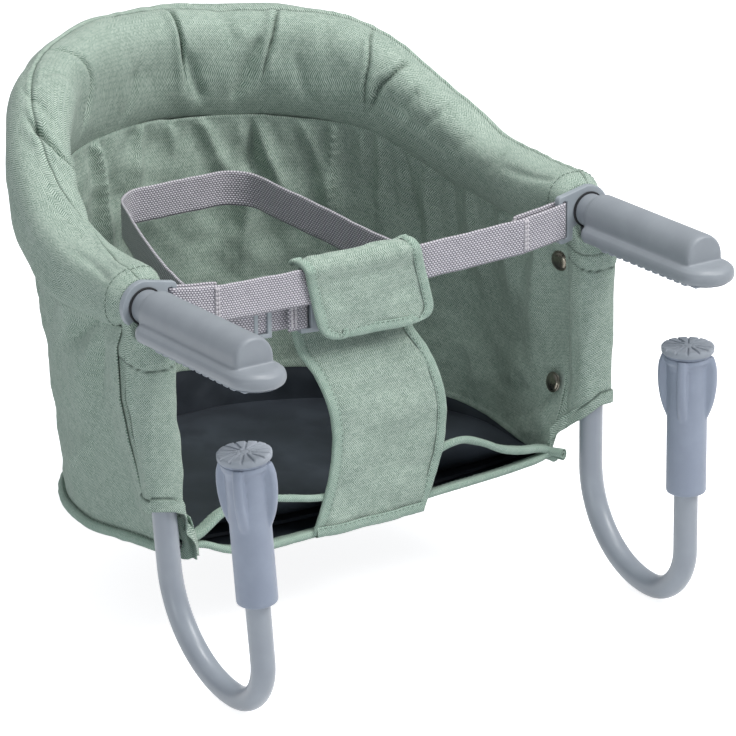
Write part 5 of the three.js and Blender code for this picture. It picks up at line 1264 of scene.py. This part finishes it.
def hook_pocket(side):
    left = side == "left"
    columns = 150
    heights = np.linspace(POCKET_CORNER, POCKET_TOP, 80)
    outlines, middles = map(np.array, zip(*[wrap_outline(z, side, columns) for z in heights]))
    foot = outlines[int(np.argmin(np.abs(heights + 130)))]
    corner = int(np.argmax(foot[:, 1] * 0.5 - foot[:, 0]))
    round_it = lengths(np.vstack([foot, foot[:1]]))
    from_corner = (round_it[corner] - round_it[:-1]) % round_it[-1]
    places = [*HEM_PLACES, round_it[-1] - 5, round_it[-1]]
    hem = np.interp(from_corner, places, [*HEM_HEIGHTS[side], -128, -156])
    hem = hem + 1.2 * np.sin(np.arange(columns) * 0.11 + left)
    top = POCKET_TOP + 13.0 * smooth(outlines[-1, :, 1], 7, 18)
    shares = [*np.linspace(0, 0.11, 20)[:-1], *np.linspace(0.11, 0.86, 60)[:-1], *np.linspace(0.86, 1, 22)]
    shares = np.array(shares)
    z = hem[None] + (top - hem)[None] * shares[:, None]
    plan = np.zeros((*z.shape, 2))
    for k in range(columns):
        for axis in (0, 1):
            plan[:, k, axis] = np.interp(z[:, k], heights, outlines[:, k, axis])
    middle = np.interp(z, heights, middles)
    grid = np.concatenate([plan, z[..., None]], axis=-1)
    centre = np.stack([middle, np.full_like(middle, PIVOT[1]), z], axis=-1)
    normals = grid_normals(closed(grid), closed(centre))[:, :-1]
    away = unit((grid - centre) * (1, 1, 0))
    normals = unit(normals * 0.6 + away * 0.4)
    distance = np.hypot(plan[..., 0] - middle, plan[..., 1] - PIVOT[1])
    inner_side = smooth(middle - plan[..., 0], 2, 9)
    gather = smooth(z, -16, POCKET_TOP)
    above_hem = z - hem[None]
    press = rumple(grid * (1, 1, 0.4), 10, 40 + left) * 1.3 + rumple(grid, 18, 42 + left) * 1.4
    press += rumple(grid * (1, 1, 0.2), 4, 45) * 0.9 * gather
    press -= 1.5 * bell(distance - 17.5, 1.8) * inner_side * smooth(-z, 20, 60)
    stitch_line = bell(above_hem - HEM_WIDTH, 0.7)
    press += 1.2 * (1 - smooth(above_hem, HEM_WIDTH - 0.6, HEM_WIDTH + 0.4)) - 1.0 * stitch_line
    turn = np.arctan2(plan[..., 1] - PIVOT[1], plan[..., 0] - middle)
    band = bell(z + 18.5 + 3.5 * np.cos(turn + math.pi / 2), 0.6)
    press += 0.6 * smooth(z, -20, -17) * (1 - gather) - 1.1 * band
    band_two = bell(z + 7.5 + 2.0 * np.cos(turn + 2.2), 0.7) * (0 if left else 1)
    press -= 0.9 * band_two
    dark = 0.85 * band + 0.75 * stitch_line + 0.6 * band_two
    outer_side = smooth(plan[..., 0] - middle, 6, 9)
    held = smooth(-z, 8, 20) * (1 - smooth(-z, 78, 100))
    slit = outer_side * held * bell(plan[..., 1] - 14.6 - 1.4 * np.sin(z / 12), 0.65)
    press -= 2.8 * slit
    press += 0.8 * outer_side * held * bell(plan[..., 1] - 11.5, 1.6)
    # Painted shade: a dark line along the slit, and a faint shade over the recess strip between the slit and
    # the wall's edge.
    dark = dark + 1.0 * slit + 0.16 * outer_side * held * smooth(plan[..., 1], 14, 16)
    press = press * (1 - 0.9 * smooth(plan[..., 1], 16, 22))
    grid = grid + normals * press[..., None]
    turn_in = grid[0] + (0, 0, 1.4) - away[0] * 1.2
    turn_deep = turn_in + (0, 0, HEM_WIDTH) - away[0] * 0.2
    rings = [turn_deep[None], turn_in[None], grid]
    top_middle = grid[-1].mean(axis=0)
    for share, rise in ((0.85, 0.6), (0.7, 0.9), (0.55, 0.9)):
        ring = top_middle + (grid[-1] - top_middle) * share
        ring[:, 2] = grid[-1][:, 2] + rise
        rings.append(ring[None])
    whole = np.concatenate(rings)
    shade = np.concatenate([np.zeros((2, columns)), dark, np.zeros((3, columns))])
    shape = Shape()
    shape.grid(whole, cloth_lines(closed(whole), turned=True), round_it=True, seam=np.clip(shade, 0, 1))
    every = np.append(np.arange(columns), 0)
    row = np.argmin(np.abs(above_hem - HEM_WIDTH), axis=0)[every]
    shape.rods(stitched(grid[row, every], normals[row, every], *BINDING_STITCH), mark=1)
    if left:
        shape.moved(lambda points: points * (-1, 1, 1))
    sign = SIDES[side]
    top, low = [(sign * ARM_X * MM, PIVOT[1] * MM, height * MM) for height in (POCKET_FIXED, POCKET_FREE)]
    joint = ("seat_frame", f"{side}_hook", top, low)
    nodes = [f"{side}_hook_pocket", f"{side}_pocket_top"]
    shape.piece(f"{side}_pocket", [SAGE, STITCH], joint, "seat_fabric", nodes)


for hook_side in SIDES:
    hook_pocket(hook_side)


# Front webbing and lap belt

WEBBING_WIDE = 25.0
WEBBING_THICK = 1.5
BAR_HALF = 1.75


def webbing_band(shape, route):
    """A strap through the route, with its width upright."""
    columns = np.linspace(-1, 1, 13) * WEBBING_WIDE / 2
    grid = route[:, None] + np.array([0, 0, 1.0]) * columns[None, :, None]
    grid = grid + rumple(grid, 12, 51)[..., None] * np.array([0.4, 0.5, 0.2])
    uv = np.stack(np.meshgrid(columns + 60, lengths(route)), axis=-1)[..., ::-1]
    shape.grid(grid, uv)


def bar_turn(x, y, half_depth, side):
    """The strap's half turn round a bar, on the bar's left (-1) or right (1)."""
    reach_x = BAR_HALF + 0.3 + WEBBING_THICK
    reach_y = half_depth + 0.6 + WEBBING_THICK / 2
    angles = np.linspace(-math.pi / 2, math.pi / 2, 14)
    c = np.maximum(np.cos(angles), 0) ** 0.75
    s = np.sign(np.sin(angles)) * np.abs(np.sin(angles)) ** 0.75
    return np.stack([x + side * reach_x * c, y + reach_y * s, np.zeros(14)], axis=1)


WEBBING_BAR_X = ARM_X - 24.8 + BAR_HALF
WEBBING_BAR_Y = 15.3
WEBBING_Y = 22.8
WEBBING_Z = 13.5
WEBBING_SAG = 11.0


def webbing_height(x):
    """The front webbing sags in the middle."""
    return WEBBING_Z - WEBBING_SAG * (1 - (x / WEBBING_BAR_X) ** 2)


def front_webbing():
    turn = bar_turn(WEBBING_BAR_X, WEBBING_BAR_Y, 2.5, 1)
    fold_x = WEBBING_BAR_X - 34
    front = turn[0, 1]
    shares = np.linspace(0, 1, 40)
    straight = np.stack([fold_x * shares, between(WEBBING_Y, front, shares**2), 0 * shares], axis=1)
    approach = np.linspace(straight[-1], turn[0], 10)[1:-1]
    tail_end = np.array([fold_x, turn[-1, 1] + 0.3, 0])
    tail = np.linspace(turn[-1], tail_end, 14)[1:]
    half = np.vstack([straight, approach, turn, tail])
    route = np.vstack([(half * (-1, 1, 1))[:0:-1], half])
    route[:, 2] = webbing_height(np.minimum(np.abs(route[:, 0]), WEBBING_BAR_X))
    shape = Shape()
    webbing_band(shape, route)
    for sign in (-1, 1):
        for x in (fold_x + 2.2, fold_x + 4.0):
            line = [(sign * x, front - 0.9, webbing_height(x) - 11 + k) for k in range(23)]
            shape.rods(stitched(line, (0, -1, 0), *WEBBING_STITCH), mark=1)
        for k in range(16):
            z = webbing_height(fold_x) - 11.8 + k * 1.55
            long = 1.2 + 1.6 * abs(noise.noise((k * 1.7, sign * 3.1, 0.4)))
            start = np.array([sign * fold_x, tail_end[1] - 0.2, z])
            strand = [start, start + (-sign * long / 2, -0.3, 0.2), start + (-sign * long, -0.2, -0.2)]
            shape.rods([(strand, 0.28)], mark=1)
    finishes = [BAND, WHITE_STITCH]
    shape.piece("front_strap", finishes, "seat_frame", "webbing", ["front_webbing"], thick=WEBBING_THICK)


LAP_FRONT_Y = 34.0
LAP_FRONT_Z = -16.5
BUCKLE_LEFT = -46.0
BUCKLE_RIGHT = 32.3
# The lap belt's line, in shares of the floor's half width, of its depth and of the webbing's width
LAP_ROUTE = [
    [-0.60, 0.17, 0.05], [-0.67, 0.26, 0.2], [-0.66, 0.38, 0.4], [-0.6, 0.56, 0.68], [-0.51, 0.74, 0.88],
    [-0.43, 0.86, 0.98], [-0.36, 0.895, 1], [-0.2, 0.905, 1], [0, 0.905, 1], [0.13, 0.9, 1],
    [0.2, 0.87, 0.96], [0.26, 0.74, 0.76], [0.32, 0.56, 0.48], [0.36, 0.4, 0.24], [0.395, 0.26, 0.1],
    [0.395, 0.195, 0.03], [0.365, 0.15, 0],
]


def lap_belt():
    loop = np.array(LAP_ROUTE) * (FLOOR_HALF, FLOOR_BACK, WEBBING_WIDE)
    loop[:, 2] += LAP_FRONT_Z
    left_bar = BUCKLE_LEFT + BAR_HALF
    right_bar = BUCKLE_RIGHT - BAR_HALF
    left = bar_turn(left_bar, LAP_FRONT_Y, BAR_HALF, 1) + (0, 0, LAP_FRONT_Z)
    right = bar_turn(right_bar, LAP_FRONT_Y, BAR_HALF, -1) + (0, 0, LAP_FRONT_Z)
    ends = (left_bar - 12.5, right_bar + 12.5)
    lead_left, lead_right = [(x, left[-1, 1] + 0.3, LAP_FRONT_Z) for x in ends]
    tail_left, tail_right = [(x, left[0, 1] - 0.3, LAP_FRONT_Z) for x in ends]
    body = through(np.vstack([lead_left, loop, lead_right]), 260)
    route = np.vstack([
        np.linspace(tail_left, left[0], 8)[:-1], left, np.linspace(left[-1], lead_left, 8)[1:-1],
        body,
        np.linspace(lead_right, right[-1], 8)[1:-1], right[::-1], np.linspace(right[0], tail_right, 8)[1:],
    ])
    shape = Shape()
    webbing_band(shape, route)
    for bar, side in ((left_bar, -1), (right_bar, 1)):
        for step in (7.0, 10.0):
            line = [(bar + side * step, tail_left[1] - 0.85, LAP_FRONT_Z - 10.5 + k) for k in range(22)]
            shape.rods(stitched(line, (0, -1, 0), *WEBBING_STITCH), mark=1)
    shape.piece("lap_strap", [BAND, WHITE_STITCH], "seat_frame", "webbing", ["lap_belt"], thick=WEBBING_THICK)


front_webbing()
lap_belt()


# Crotch strap and its flap

CROTCH_BOTTOM = -174.0
CROTCH_HALF = 45.0
FLAP_TOP = WEBBING_Z - WEBBING_SAG + WEBBING_WIDE / 2 + 2.2 + 3
FLAP_FRONT = WEBBING_Y - 0.8 - 2.2 - 1.5
FLAP_BACK = WEBBING_Y + 1.6 + 6


def strap_panel(name, node, line, centre_line, half_line, rows, corner, seed):
    """A strap of doubled cloth: its line in the y and z plane, and its middle and half width along it."""
    profile = through(np.insert(np.asarray(line, float), 0, 0, axis=1), rows)
    stops = np.linspace(0, 1, rows + 1)
    middle = np.interp(stops, *zip(*centre_line))
    half = np.interp(stops, *zip(*half_line))
    if corner:
        left_over = np.maximum(corner - (1 - stops) * lengths(profile)[-1], 0)
        half = half - (corner - np.sqrt(np.maximum(corner**2 - left_over**2, 0)))
    across = [*np.linspace(-1, -0.86, 7), *np.linspace(-0.82, 0.82, 40), *np.linspace(0.86, 1, 7)]
    across = np.array(across)
    grid = np.zeros((rows + 1, len(across), 3))
    grid[..., 0] = middle[:, None] + half[:, None] * across[None]
    grid[..., 1] = profile[:, 1][:, None]
    grid[..., 2] = profile[:, 2][:, None]
    flat = grid.copy()
    ahead = directions(profile)
    out = np.stack([0 * ahead[:, 0], -ahead[:, 2], ahead[:, 1]], axis=1)
    out *= np.sign(-out[:, 1:2] + 1e-6 + 0.2 * out[:, 2:3])
    inner = smooth(1 - np.abs(across), 0.0, 0.3)[None]
    press = rumple(grid, 26, seed) * 3.0 * inner + rumple(grid, 9, seed + 1) * 0.6
    press += rumple(grid * (0.5, 1, 1), 5, seed + 2) * 0.25
    press += 1.2 * (1 - across[None] ** 2) * np.ones((rows + 1, 1)) - 0.4
    gap = (1 - np.abs(across))[None] * half[:, None]
    press -= 0.9 * bell(gap - 7.2, 0.9)
    dark = 0.5 * bell(gap - 7.2, 0.6)
    grid = grid + out[:, None] * press[..., None]
    uv = np.stack(np.broadcast_arrays(grid[..., 0] + 200, lengths(profile)[:, None]), axis=-1)
    shape = Shape()
    shape.grid(grid, uv, seam=dark)
    panel = shape.piece(name, [SAGE, STITCH], "seat_frame", "seat_fabric", [node], thick=1.8)
    edge_shape = Shape()
    left_edge = grid[:, 0]
    right_edge = grid[:, -1]
    if corner:
        rim = np.vstack([left_edge, grid[-1, 1:-1], right_edge[::-1]])
        centre = np.array([middle[rows // 2], 0, grid[rows // 2, 0, 2]])
        inward = unit((centre - rim) * (1, 0, 1))
        counts = (rows + 1, len(across) - 2, rows + 1)
        sides = np.repeat([(1.0, 0, 0), (0, 0, 1.0), (-1.0, 0, 0)], counts, axis=0)
        turned = smooth(np.abs(rim[:, 2] - grid[-1, 0, 2]), 0, corner)[:, None]
        inward = unit(between(inward * 0.5 + sides * 0.5, sides, turned))
        up = np.vstack([out, np.tile(out[-1], (len(across) - 2, 1)), out[::-1]])
        binding(edge_shape, rim, inward, up, 7.0, 3.6)
    else:
        binding(edge_shape, left_edge, (1, 0, 0), out, 7.0, 3.6)
        binding(edge_shape, right_edge, (-1, 0, 0), out, 7.0, 3.6)
        foot = grid[0, 1:-1] + out[0] * 1.2 + (0, 0, -0.8)
        binding(edge_shape, foot, (0, 0, 1.0), out[0], 6.8, 4.2)
    edges = edge_shape.piece(f"{name}_binding", [TRIM, STITCH], "seat_frame", "seat_fabric")
    declare_sheet(flat)


def crotch_pieces():
    behind = LAP_FRONT_Y + 5.25 + 1.5 + 0.3
    buckle_top = LAP_FRONT_Z + 16.5
    buckle_foot = LAP_FRONT_Z - 16.5
    front = FLOOR_FRONT - 0.3 - 1.5
    belly = front - 1
    height = buckle_foot - CROTCH_BOTTOM
    line = [
        (front, CROTCH_BOTTOM), (front - 0.33, CROTCH_BOTTOM + height / 6),
        (belly, between(CROTCH_BOTTOM, buckle_foot, 0.4)), (belly, between(CROTCH_BOTTOM, buckle_foot, 0.62)),
        (between(belly, behind, 0.25), between(CROTCH_BOTTOM, buckle_foot, 0.8)), (behind, buckle_foot - 1.5),
        (behind + 0.3, LAP_FRONT_Z), (behind, buckle_top + 1.5),
        (between(behind, FLAP_BACK, 0.5), between(buckle_top, FLAP_TOP, 0.5)), (FLAP_BACK, FLAP_TOP - 3),
    ]
    lean = [(j, 17 * math.sin(math.pi * min(j * 1.55, 1))) for j in np.linspace(0, 1, 40)]
    half = [(j, CROTCH_HALF + math.sin(math.pi * j)) for j in np.linspace(0, 1, 40)]
    strap_panel("crotch_cloth", "crotch_strap", line, lean, half, 110, corner=0, seed=60)
    flap_line = [
        (FLAP_BACK, FLAP_TOP - 1.5), (between(FLAP_FRONT, FLAP_BACK, 0.75), FLAP_TOP),
        (between(FLAP_FRONT, FLAP_BACK, 0.3), FLAP_TOP), (FLAP_FRONT, FLAP_TOP - 3),
        (FLAP_FRONT, WEBBING_Z - WEBBING_SAG), (FLAP_FRONT, WEBBING_Z - WEBBING_SAG - 12.5),
        (FLAP_FRONT + 0.3, LAP_FRONT_Z - 20.5),
    ]
    lean = [(0, -9.0), (1, 9.0)]
    half = [(0, CROTCH_HALF + 1), (1, CROTCH_HALF + 1)]
    strap_panel("flap_cloth", "crotch_flap", flap_line, lean, half, 60, corner=13, seed=70)


crotch_pieces()


# Arm grips

GRIP_RADIUS = 14.5
GRIP_FACE = -117.0
RAIL_HALF = 20.0
RAIL_TIP = -137.0
RAIL_LOW = 2.0
RAIL_HIGH = 13.5
# The rail's rows: how far in each is, and its height
RAIL_ROWS = ((3.0, RAIL_LOW), (1.0, 3.0), (0, 5.5), (0, 8.0), (0.9, 10.6), (3.2, 12.6), (5.6, RAIL_HIGH))
# The arch's rings: where each is along the arm, and its share of the full radius
ARCH_RINGS = ((0.0, 0.86), (-1.5, 0.96), (-4.0, 1.0), (-60.0, 1.0), (GRIP_FACE + 4, 1.0),
              (GRIP_FACE + 1.2, 0.96), (GRIP_FACE, 0.88))
COLLAR_RADIUS = 11.5
COLLAR_END = 12.5


def rail_outline(inset, back):
    half = RAIL_HALF - inset
    tip = RAIL_TIP + inset
    corner = half / 3
    angles = np.linspace(math.pi, TURN, 33)
    nose = [(half * math.cos(a), tip + half + half * math.sin(a)) for a in angles]
    tail = [(half, back - corner), (half - corner * 0.3, back - corner * 0.3), (half - corner, back),
            (corner - half, back), (corner * 0.3 - half, back - corner * 0.3), (-half, back - corner)]
    return nose + tail


def arm_grip(side):
    sign = SIDES[side]
    shape = Shape()
    rail = [[(x, y, z) for x, y in rail_outline(inset, -1 - inset * 0.3)] for inset, z in RAIL_ROWS]
    shape.grid(np.array(rail), round_it=True, caps=True)
    arch = []
    angles = np.linspace(0, math.pi, 41)
    for y, shrink in ARCH_RINGS:
        radius = GRIP_RADIUS * shrink
        ring = [(radius * math.cos(a), y, ARM_HEIGHT + radius * math.sin(a)) for a in angles]
        ring += [(-radius, y, 5.0), (radius, y, 5.0)]
        if y < -60:
            ring = [(x, yy - 0.06 * (ARM_HEIGHT + GRIP_RADIUS - z), z) for x, yy, z in ring]
        arch.append(ring)
    shape.grid(np.array(arch), round_it=True, caps=True)
    angles = TURN * np.arange(48) / 48
    collar = [(COLLAR_RADIUS * math.cos(a), COLLAR_RADIUS * math.sin(a) + ARM_HEIGHT) for a in angles]
    shape.add(*prism(collar, -3.0, COLLAR_END))
    shape.moved(lambda points: points + (sign * ARM_X, 0, 0))
    moulded(shape, f"{side}_arm_grip", GRIP, "seat_frame", "grip_plastic", [f"{side}_grip"], 0.7, 3)


def collar_gap_shadow(side):
    """A thin near-black ring of painted shade, standing in for the shadow in the gap between the grip's
    collar and the strap anchor.
    """
    sign = SIDES[side]
    turns = TURN * np.arange(64) / 64
    rows = []
    for turn in TURN * np.arange(11) / 10:
        reach = COLLAR_RADIUS + 0.4 + 0.9 * math.cos(turn)
        deep = np.full_like(turns, COLLAR_END - 0.5 + 0.9 * math.sin(turn))
        x = sign * ARM_X + reach * np.cos(turns)
        rows.append(np.stack([x, deep, ARM_HEIGHT + reach * np.sin(turns)], axis=1))
    shape = Shape()
    shape.grid(np.array(rows), round_it=True)
    shape.piece(f"{side}_collar_gap_shadow", GAP_SHADOW, "seat_frame", "rubber")


for arm_side in SIDES:
    arm_grip(arm_side)
    collar_gap_shadow(arm_side)
    from_solid(f"{arm_side}_strap_anchor", PALE, "strap_plastic", 0.45, 3)
    from_solid(f"{arm_side}_grip_sole", PAD, "rubber", 0.6, 2)

for buckle_part in ("buckle_socket", "buckle_tongue", "belt_adjuster"):
    from_solid(buckle_part, PALE, "strap_plastic", 0.4, 2)


# Hooks and clamps

HOOK_Y = 8.0
REAR_BEND = 70.0
FRONT_BEND = 38.0
BEND_START = -164.6
HOOK_END = -122.0
CLAMP_Y = HOOK_Y - REAR_BEND - FRONT_BEND
DISC_TOP = -49.0
DISC_FOOT = DISC_TOP - 5
KNOB_TOP = -56.1
KNOB_FOOT = KNOB_TOP - 98
KNOB_RADIUS = 13.7
WINGS = 4
DISC_GROOVES = 14
DISC_RADIUS = 18.0
# The disc's rings, close together where its face bends
DISC_RINGS = [0.01, 1.5, 2.4, 2.8, 3.2, 4.0, 5.0, 5.6, 6.5, 8, 10, 12, 14, 15.5, 16.6, 17.3, 17.75,
              DISC_RADIUS]
LONG_GROOVE = 4.0
SHORT_GROOVE = 6.0


def arc(centre_y, centre_z, radius, first, last, steps):
    angles = np.linspace(first, last, steps)
    return [(ARM_X, centre_y + radius * math.cos(a), centre_z + radius * math.sin(a)) for a in angles]


def hook_tube(side):
    centre = HOOK_Y - REAR_BEND
    route = [(ARM_X, HOOK_Y, z) for z in np.linspace(-20, BEND_START + 4, 24)]
    route += arc(centre, BEND_START, REAR_BEND, 0, -math.pi / 2, 40)
    route += arc(centre, BEND_START - REAR_BEND + FRONT_BEND, FRONT_BEND, -math.pi / 2, -math.pi, 30)[1:]
    route += [(ARM_X, CLAMP_Y, z) for z in np.linspace(BEND_START - REAR_BEND + FRONT_BEND + 6, HOOK_END, 14)]
    shape = Shape()
    shape.grid(rod(route, TUBE_RADIUS, 40), round_it=True, caps=True)
    if side == "left":
        shape.moved(left_side)
    shape.piece(f"{side}_hook_bend", TUBE, f"{side}_hook", "frame_tube", [f"{side}_hook_tube"])


# How far a wing stands out, as a share of its full reach, by shares of its height
WING_REACHES = [(0, -0.2), (0.12, 0.2), (0.28, 0.62), (0.45, 0.88), (0.6, 0.99), (0.74, 1), (0.88, 0.9),
                (1, 0.62)]
WING_REACH = 20.6
WING_HEIGHT = 48
WING_HALF = 3.7


def wing(turn):
    """A knob's wing: low at its foot, fullest above its middle."""
    half = WING_HALF
    grid = []
    for share in np.linspace(0, 1, 40):
        reach = float(curve_at(*zip(*WING_REACHES), share))
        outer = between(KNOB_RADIUS, WING_REACH, reach)
        z = between(KNOB_TOP - WING_HEIGHT, KNOB_TOP, share)
        ring = [(10.4, -half, z), (outer - 2, -half * 0.9, z), (outer - 0.6, -half * 0.6, z), (outer, 0, z),
                (outer - 0.6, half * 0.6, z), (outer - 2, half * 0.9, z), (10.4, half, z)]
        grid.append(ring)
    grid = np.array(grid)
    c = math.cos(turn)
    s = math.sin(turn)
    x = grid[..., 0] * c - grid[..., 1] * s
    y = grid[..., 0] * s + grid[..., 1] * c
    return np.stack([x, y, grid[..., 2]], axis=-1)


def at_clamp(shape, side):
    shape.moved(lambda points: points + (ARM_X, CLAMP_Y, 0))
    if side == "left":
        shape.moved(lambda points: left_side(points, mirror=False))


def clamp_knob(side):
    profile = [(8.7, KNOB_FOOT), (12.6, KNOB_FOOT), (13.4, KNOB_FOOT + 0.5), (KNOB_RADIUS, KNOB_FOOT + 1.6),
               (KNOB_RADIUS, KNOB_TOP - 9), (14.6, KNOB_TOP - 5), (15.8, KNOB_TOP - 3.4), (15.8, KNOB_TOP),
               (6.3, KNOB_TOP), (6.3, KNOB_TOP - 5.8), (4.8, KNOB_TOP - 5.8), (4.8, KNOB_FOOT + 60.5),
               (8.7, KNOB_FOOT + 60.5)]
    shape = Shape()
    shape.grid(lathe(profile, 72, bored=True), round_it=True)
    for i in range(WINGS):
        shape.grid(wing(TURN * i / WINGS + math.radians(39)), round_it=True, caps=True)
    at_clamp(shape, side)
    nodes = [f"{side}_clamp_knob"]
    moulded(shape, f"{side}_winged_knob", KNOB, f"{side}_knob", "knob_plastic", nodes, 0.7, 4)


def clamp_disc(side):
    """A rubber disc with grooves from its hub to its rim."""
    angles = TURN * np.arange(336) / 336
    rows = []
    pitch = TURN / DISC_GROOVES
    for r in DISC_RINGS:
        long = (np.floor(angles / pitch + 0.5) % 2) == 0
        offset = (angles + pitch / 2) % pitch - pitch / 2
        aside = np.abs(offset) * r
        start = np.where(long, LONG_GROOVE, SHORT_GROOVE)
        groove = (1 - smooth(aside, 0.45, 1.05)) * smooth(r, start - 0.4, start + 0.6)
        ring = 0.5 * bell(r - 2.8, 0.35)
        edge = 0.9 * smooth(r, DISC_RADIUS - 1.2, DISC_RADIUS) ** 2
        height = DISC_TOP - 1.1 * groove - ring - edge
        rows.append(np.stack([r * np.cos(angles), r * np.sin(angles), height], axis=1))
    for r, z in ((DISC_RADIUS, DISC_TOP - 2.4), (17.8, DISC_TOP - 4.2), (17.2, DISC_FOOT), (0.01, DISC_FOOT)):
        rows.append(np.stack([r * np.cos(angles), r * np.sin(angles), z + 0 * angles], axis=1))
    shape = Shape()
    shape.grid(np.array(rows), round_it=True, caps=True)
    at_clamp(shape, side)
    shape.piece(f"{side}_grooved_disc", PAD, f"{side}_pad", "rubber", [f"{side}_clamp_disc"])


for clamp_side in SIDES:
    hook_tube(clamp_side)
    clamp_knob(clamp_side)
    clamp_disc(clamp_side)


# Press snaps: domed caps with a rolled rim

# A snap's cap from its crown to its rim's foot: how far out, and how high
SNAP_PROFILE = [(0.01, 2.5), (1.8, 2.46), (3.4, 2.3), (4.6, 2.02), (5.4, 1.66), (5.75, 1.3), (5.9, 1.05),
                (6.2, 1.1), (6.8, 1.16), (7.2, 0.9), (7.35, 0.5), (7.2, 0.1), (6.6, 0), (0.01, 0)]


def press_snap(node):
    vertices = solid_points(node)
    centre = (vertices.max(axis=0) + vertices.min(axis=0)) / 2
    spread = vertices - vertices.mean(axis=0)
    normal = np.linalg.svd(spread, full_matrices=False)[2][2]
    normal = normal * np.sign(normal @ (SEAT_MIDDLE - centre))
    out = np.sign(centre[0]) * float(liner_push(centre[2], centre[1] - WALL_FRONT))
    grid = lathe(SNAP_PROFILE, 48)
    along = spread @ normal
    foot = vertices.mean(axis=0) + normal * along.min() + (out, 0, 0)
    normal = unit(normal - (0, 0.36, 0))
    turn = Vector((0, 0, 1)).rotation_difference(Vector(normal)).to_matrix()
    grid = grid @ np.array(turn).T + foot
    shape = Shape()
    shape.grid(grid, round_it=True, caps=True)
    shape.piece(node + ".cap", NICKEL, "seat_frame", "snap_metal", [node])


for snap_side in SIDES:
    for level in ("upper", "lower"):
        press_snap(f"{snap_side}_{level}_snap")


# Pieces that keep their solids

def dress(node, finish):
    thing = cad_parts[node]
    thing.data.materials.clear()
    thing.data.materials.append(finish)


dress("hoop_tube", TUBE)
dress("seat_board", NAVY)
for plain_side in SIDES:
    for part in ("fold_bracket", "fold_rivet", "clamp_screw", "knob_nut"):
        dress(f"{plain_side}_{part}", STEEL)
    dress(f"{plain_side}_thread_insert", PALE)
    dress(f"{plain_side}_disc_plug", KNOB)


# Floor, light and backdrop

FLOOR_REACH = 6.0
# How bright the floor shows itself to the camera and in metal, next to the white behind it
FLOOR_GLOW = 0.84


def studio():
    size = FLOOR_REACH
    low = cad_box[0][2] - 0.0006
    corners = [(-size, -size, low), (size, -size, low), (size, size, low), (-size, size, low)]
    mesh = bpy.data.meshes.new("studio_floor")
    mesh.from_pydata(corners, [], [(0, 1, 2, 3)])
    ground = bpy.data.objects.new("studio_floor", mesh)
    bpy.context.collection.objects.link(ground)
    paper = Finish("white paper", 0.9)
    path = paper.tree.nodes.new("ShaderNodeLightPath")
    seen = Value(paper, path.outputs["Is Camera Ray"])
    mirrored = Value(paper, path.outputs["Is Glossy Ray"])
    paper.set(Base_Color=(0.7, 0.71, 0.73, 1))
    glow = (seen + mirrored) * FLOOR_GLOW
    paper.set(Emission_Color=paper.mix(glow, (0, 0, 0, 1), (1, 1, 1, 1)))
    paper.shader.inputs["Emission Strength"].default_value = 1.0
    paper.shader.inputs["Specular IOR Level"].default_value = 0
    mesh.materials.append(paper.material)


def backdrop():
    """White to the camera and through clear things, and a plain soft light to everything else."""
    world = bpy.data.worlds.new("studio")
    bpy.context.scene.world = world
    world.use_nodes = True
    tree = world.node_tree
    tree.nodes.clear()
    path = tree.nodes.new("ShaderNodeLightPath")
    plain = tree.nodes.new("ShaderNodeBackground")
    plain.inputs["Color"].default_value = (0.93, 0.96, 1, 1)
    plain.inputs["Strength"].default_value = 0.42
    white = tree.nodes.new("ShaderNodeBackground")
    white.inputs["Strength"].default_value = 1.0
    chosen = tree.nodes.new("ShaderNodeMath")
    chosen.operation = "ADD"
    chosen.use_clamp = True
    tree.links.new(path.outputs["Is Camera Ray"], chosen.inputs[0])
    tree.links.new(path.outputs["Is Transmission Ray"], chosen.inputs[1])
    mix = tree.nodes.new("ShaderNodeMixShader")
    tree.links.new(chosen.outputs[0], mix.inputs[0])
    tree.links.new(plain.outputs[0], mix.inputs[1])
    tree.links.new(white.outputs[0], mix.inputs[2])
    out = tree.nodes.new("ShaderNodeOutputWorld")
    tree.links.new(mix.outputs[0], out.inputs["Surface"])


def soft_lamp(name, place, aim, size, power, colour):
    data = bpy.data.lights.new(name, "AREA")
    data.shape = "SQUARE"
    data.size = size
    data.energy = power
    data.color = colour
    lamp = bpy.data.objects.new(name, data)
    way = Vector(aim) - Vector(place)
    lamp.rotation_euler = way.to_track_quat("-Z", "Y").to_euler()
    lamp.location = place
    bpy.context.collection.objects.link(lamp)


studio()
backdrop()
soft_lamp("key", (1.15, -1.55, 1.9), (0, 0.1, 0), 1.1, 41, (1, 0.995, 0.98))
soft_lamp("top", (0.2, -0.5, 2.5), (0, 0.1, 0), 0.9, 37, (1, 0.99, 0.97))
soft_lamp("left fill", (-2.4, -1.2, -0.1), (0, 0.1, -0.05), 0.6, 12, (0.9, 0.98, 1))
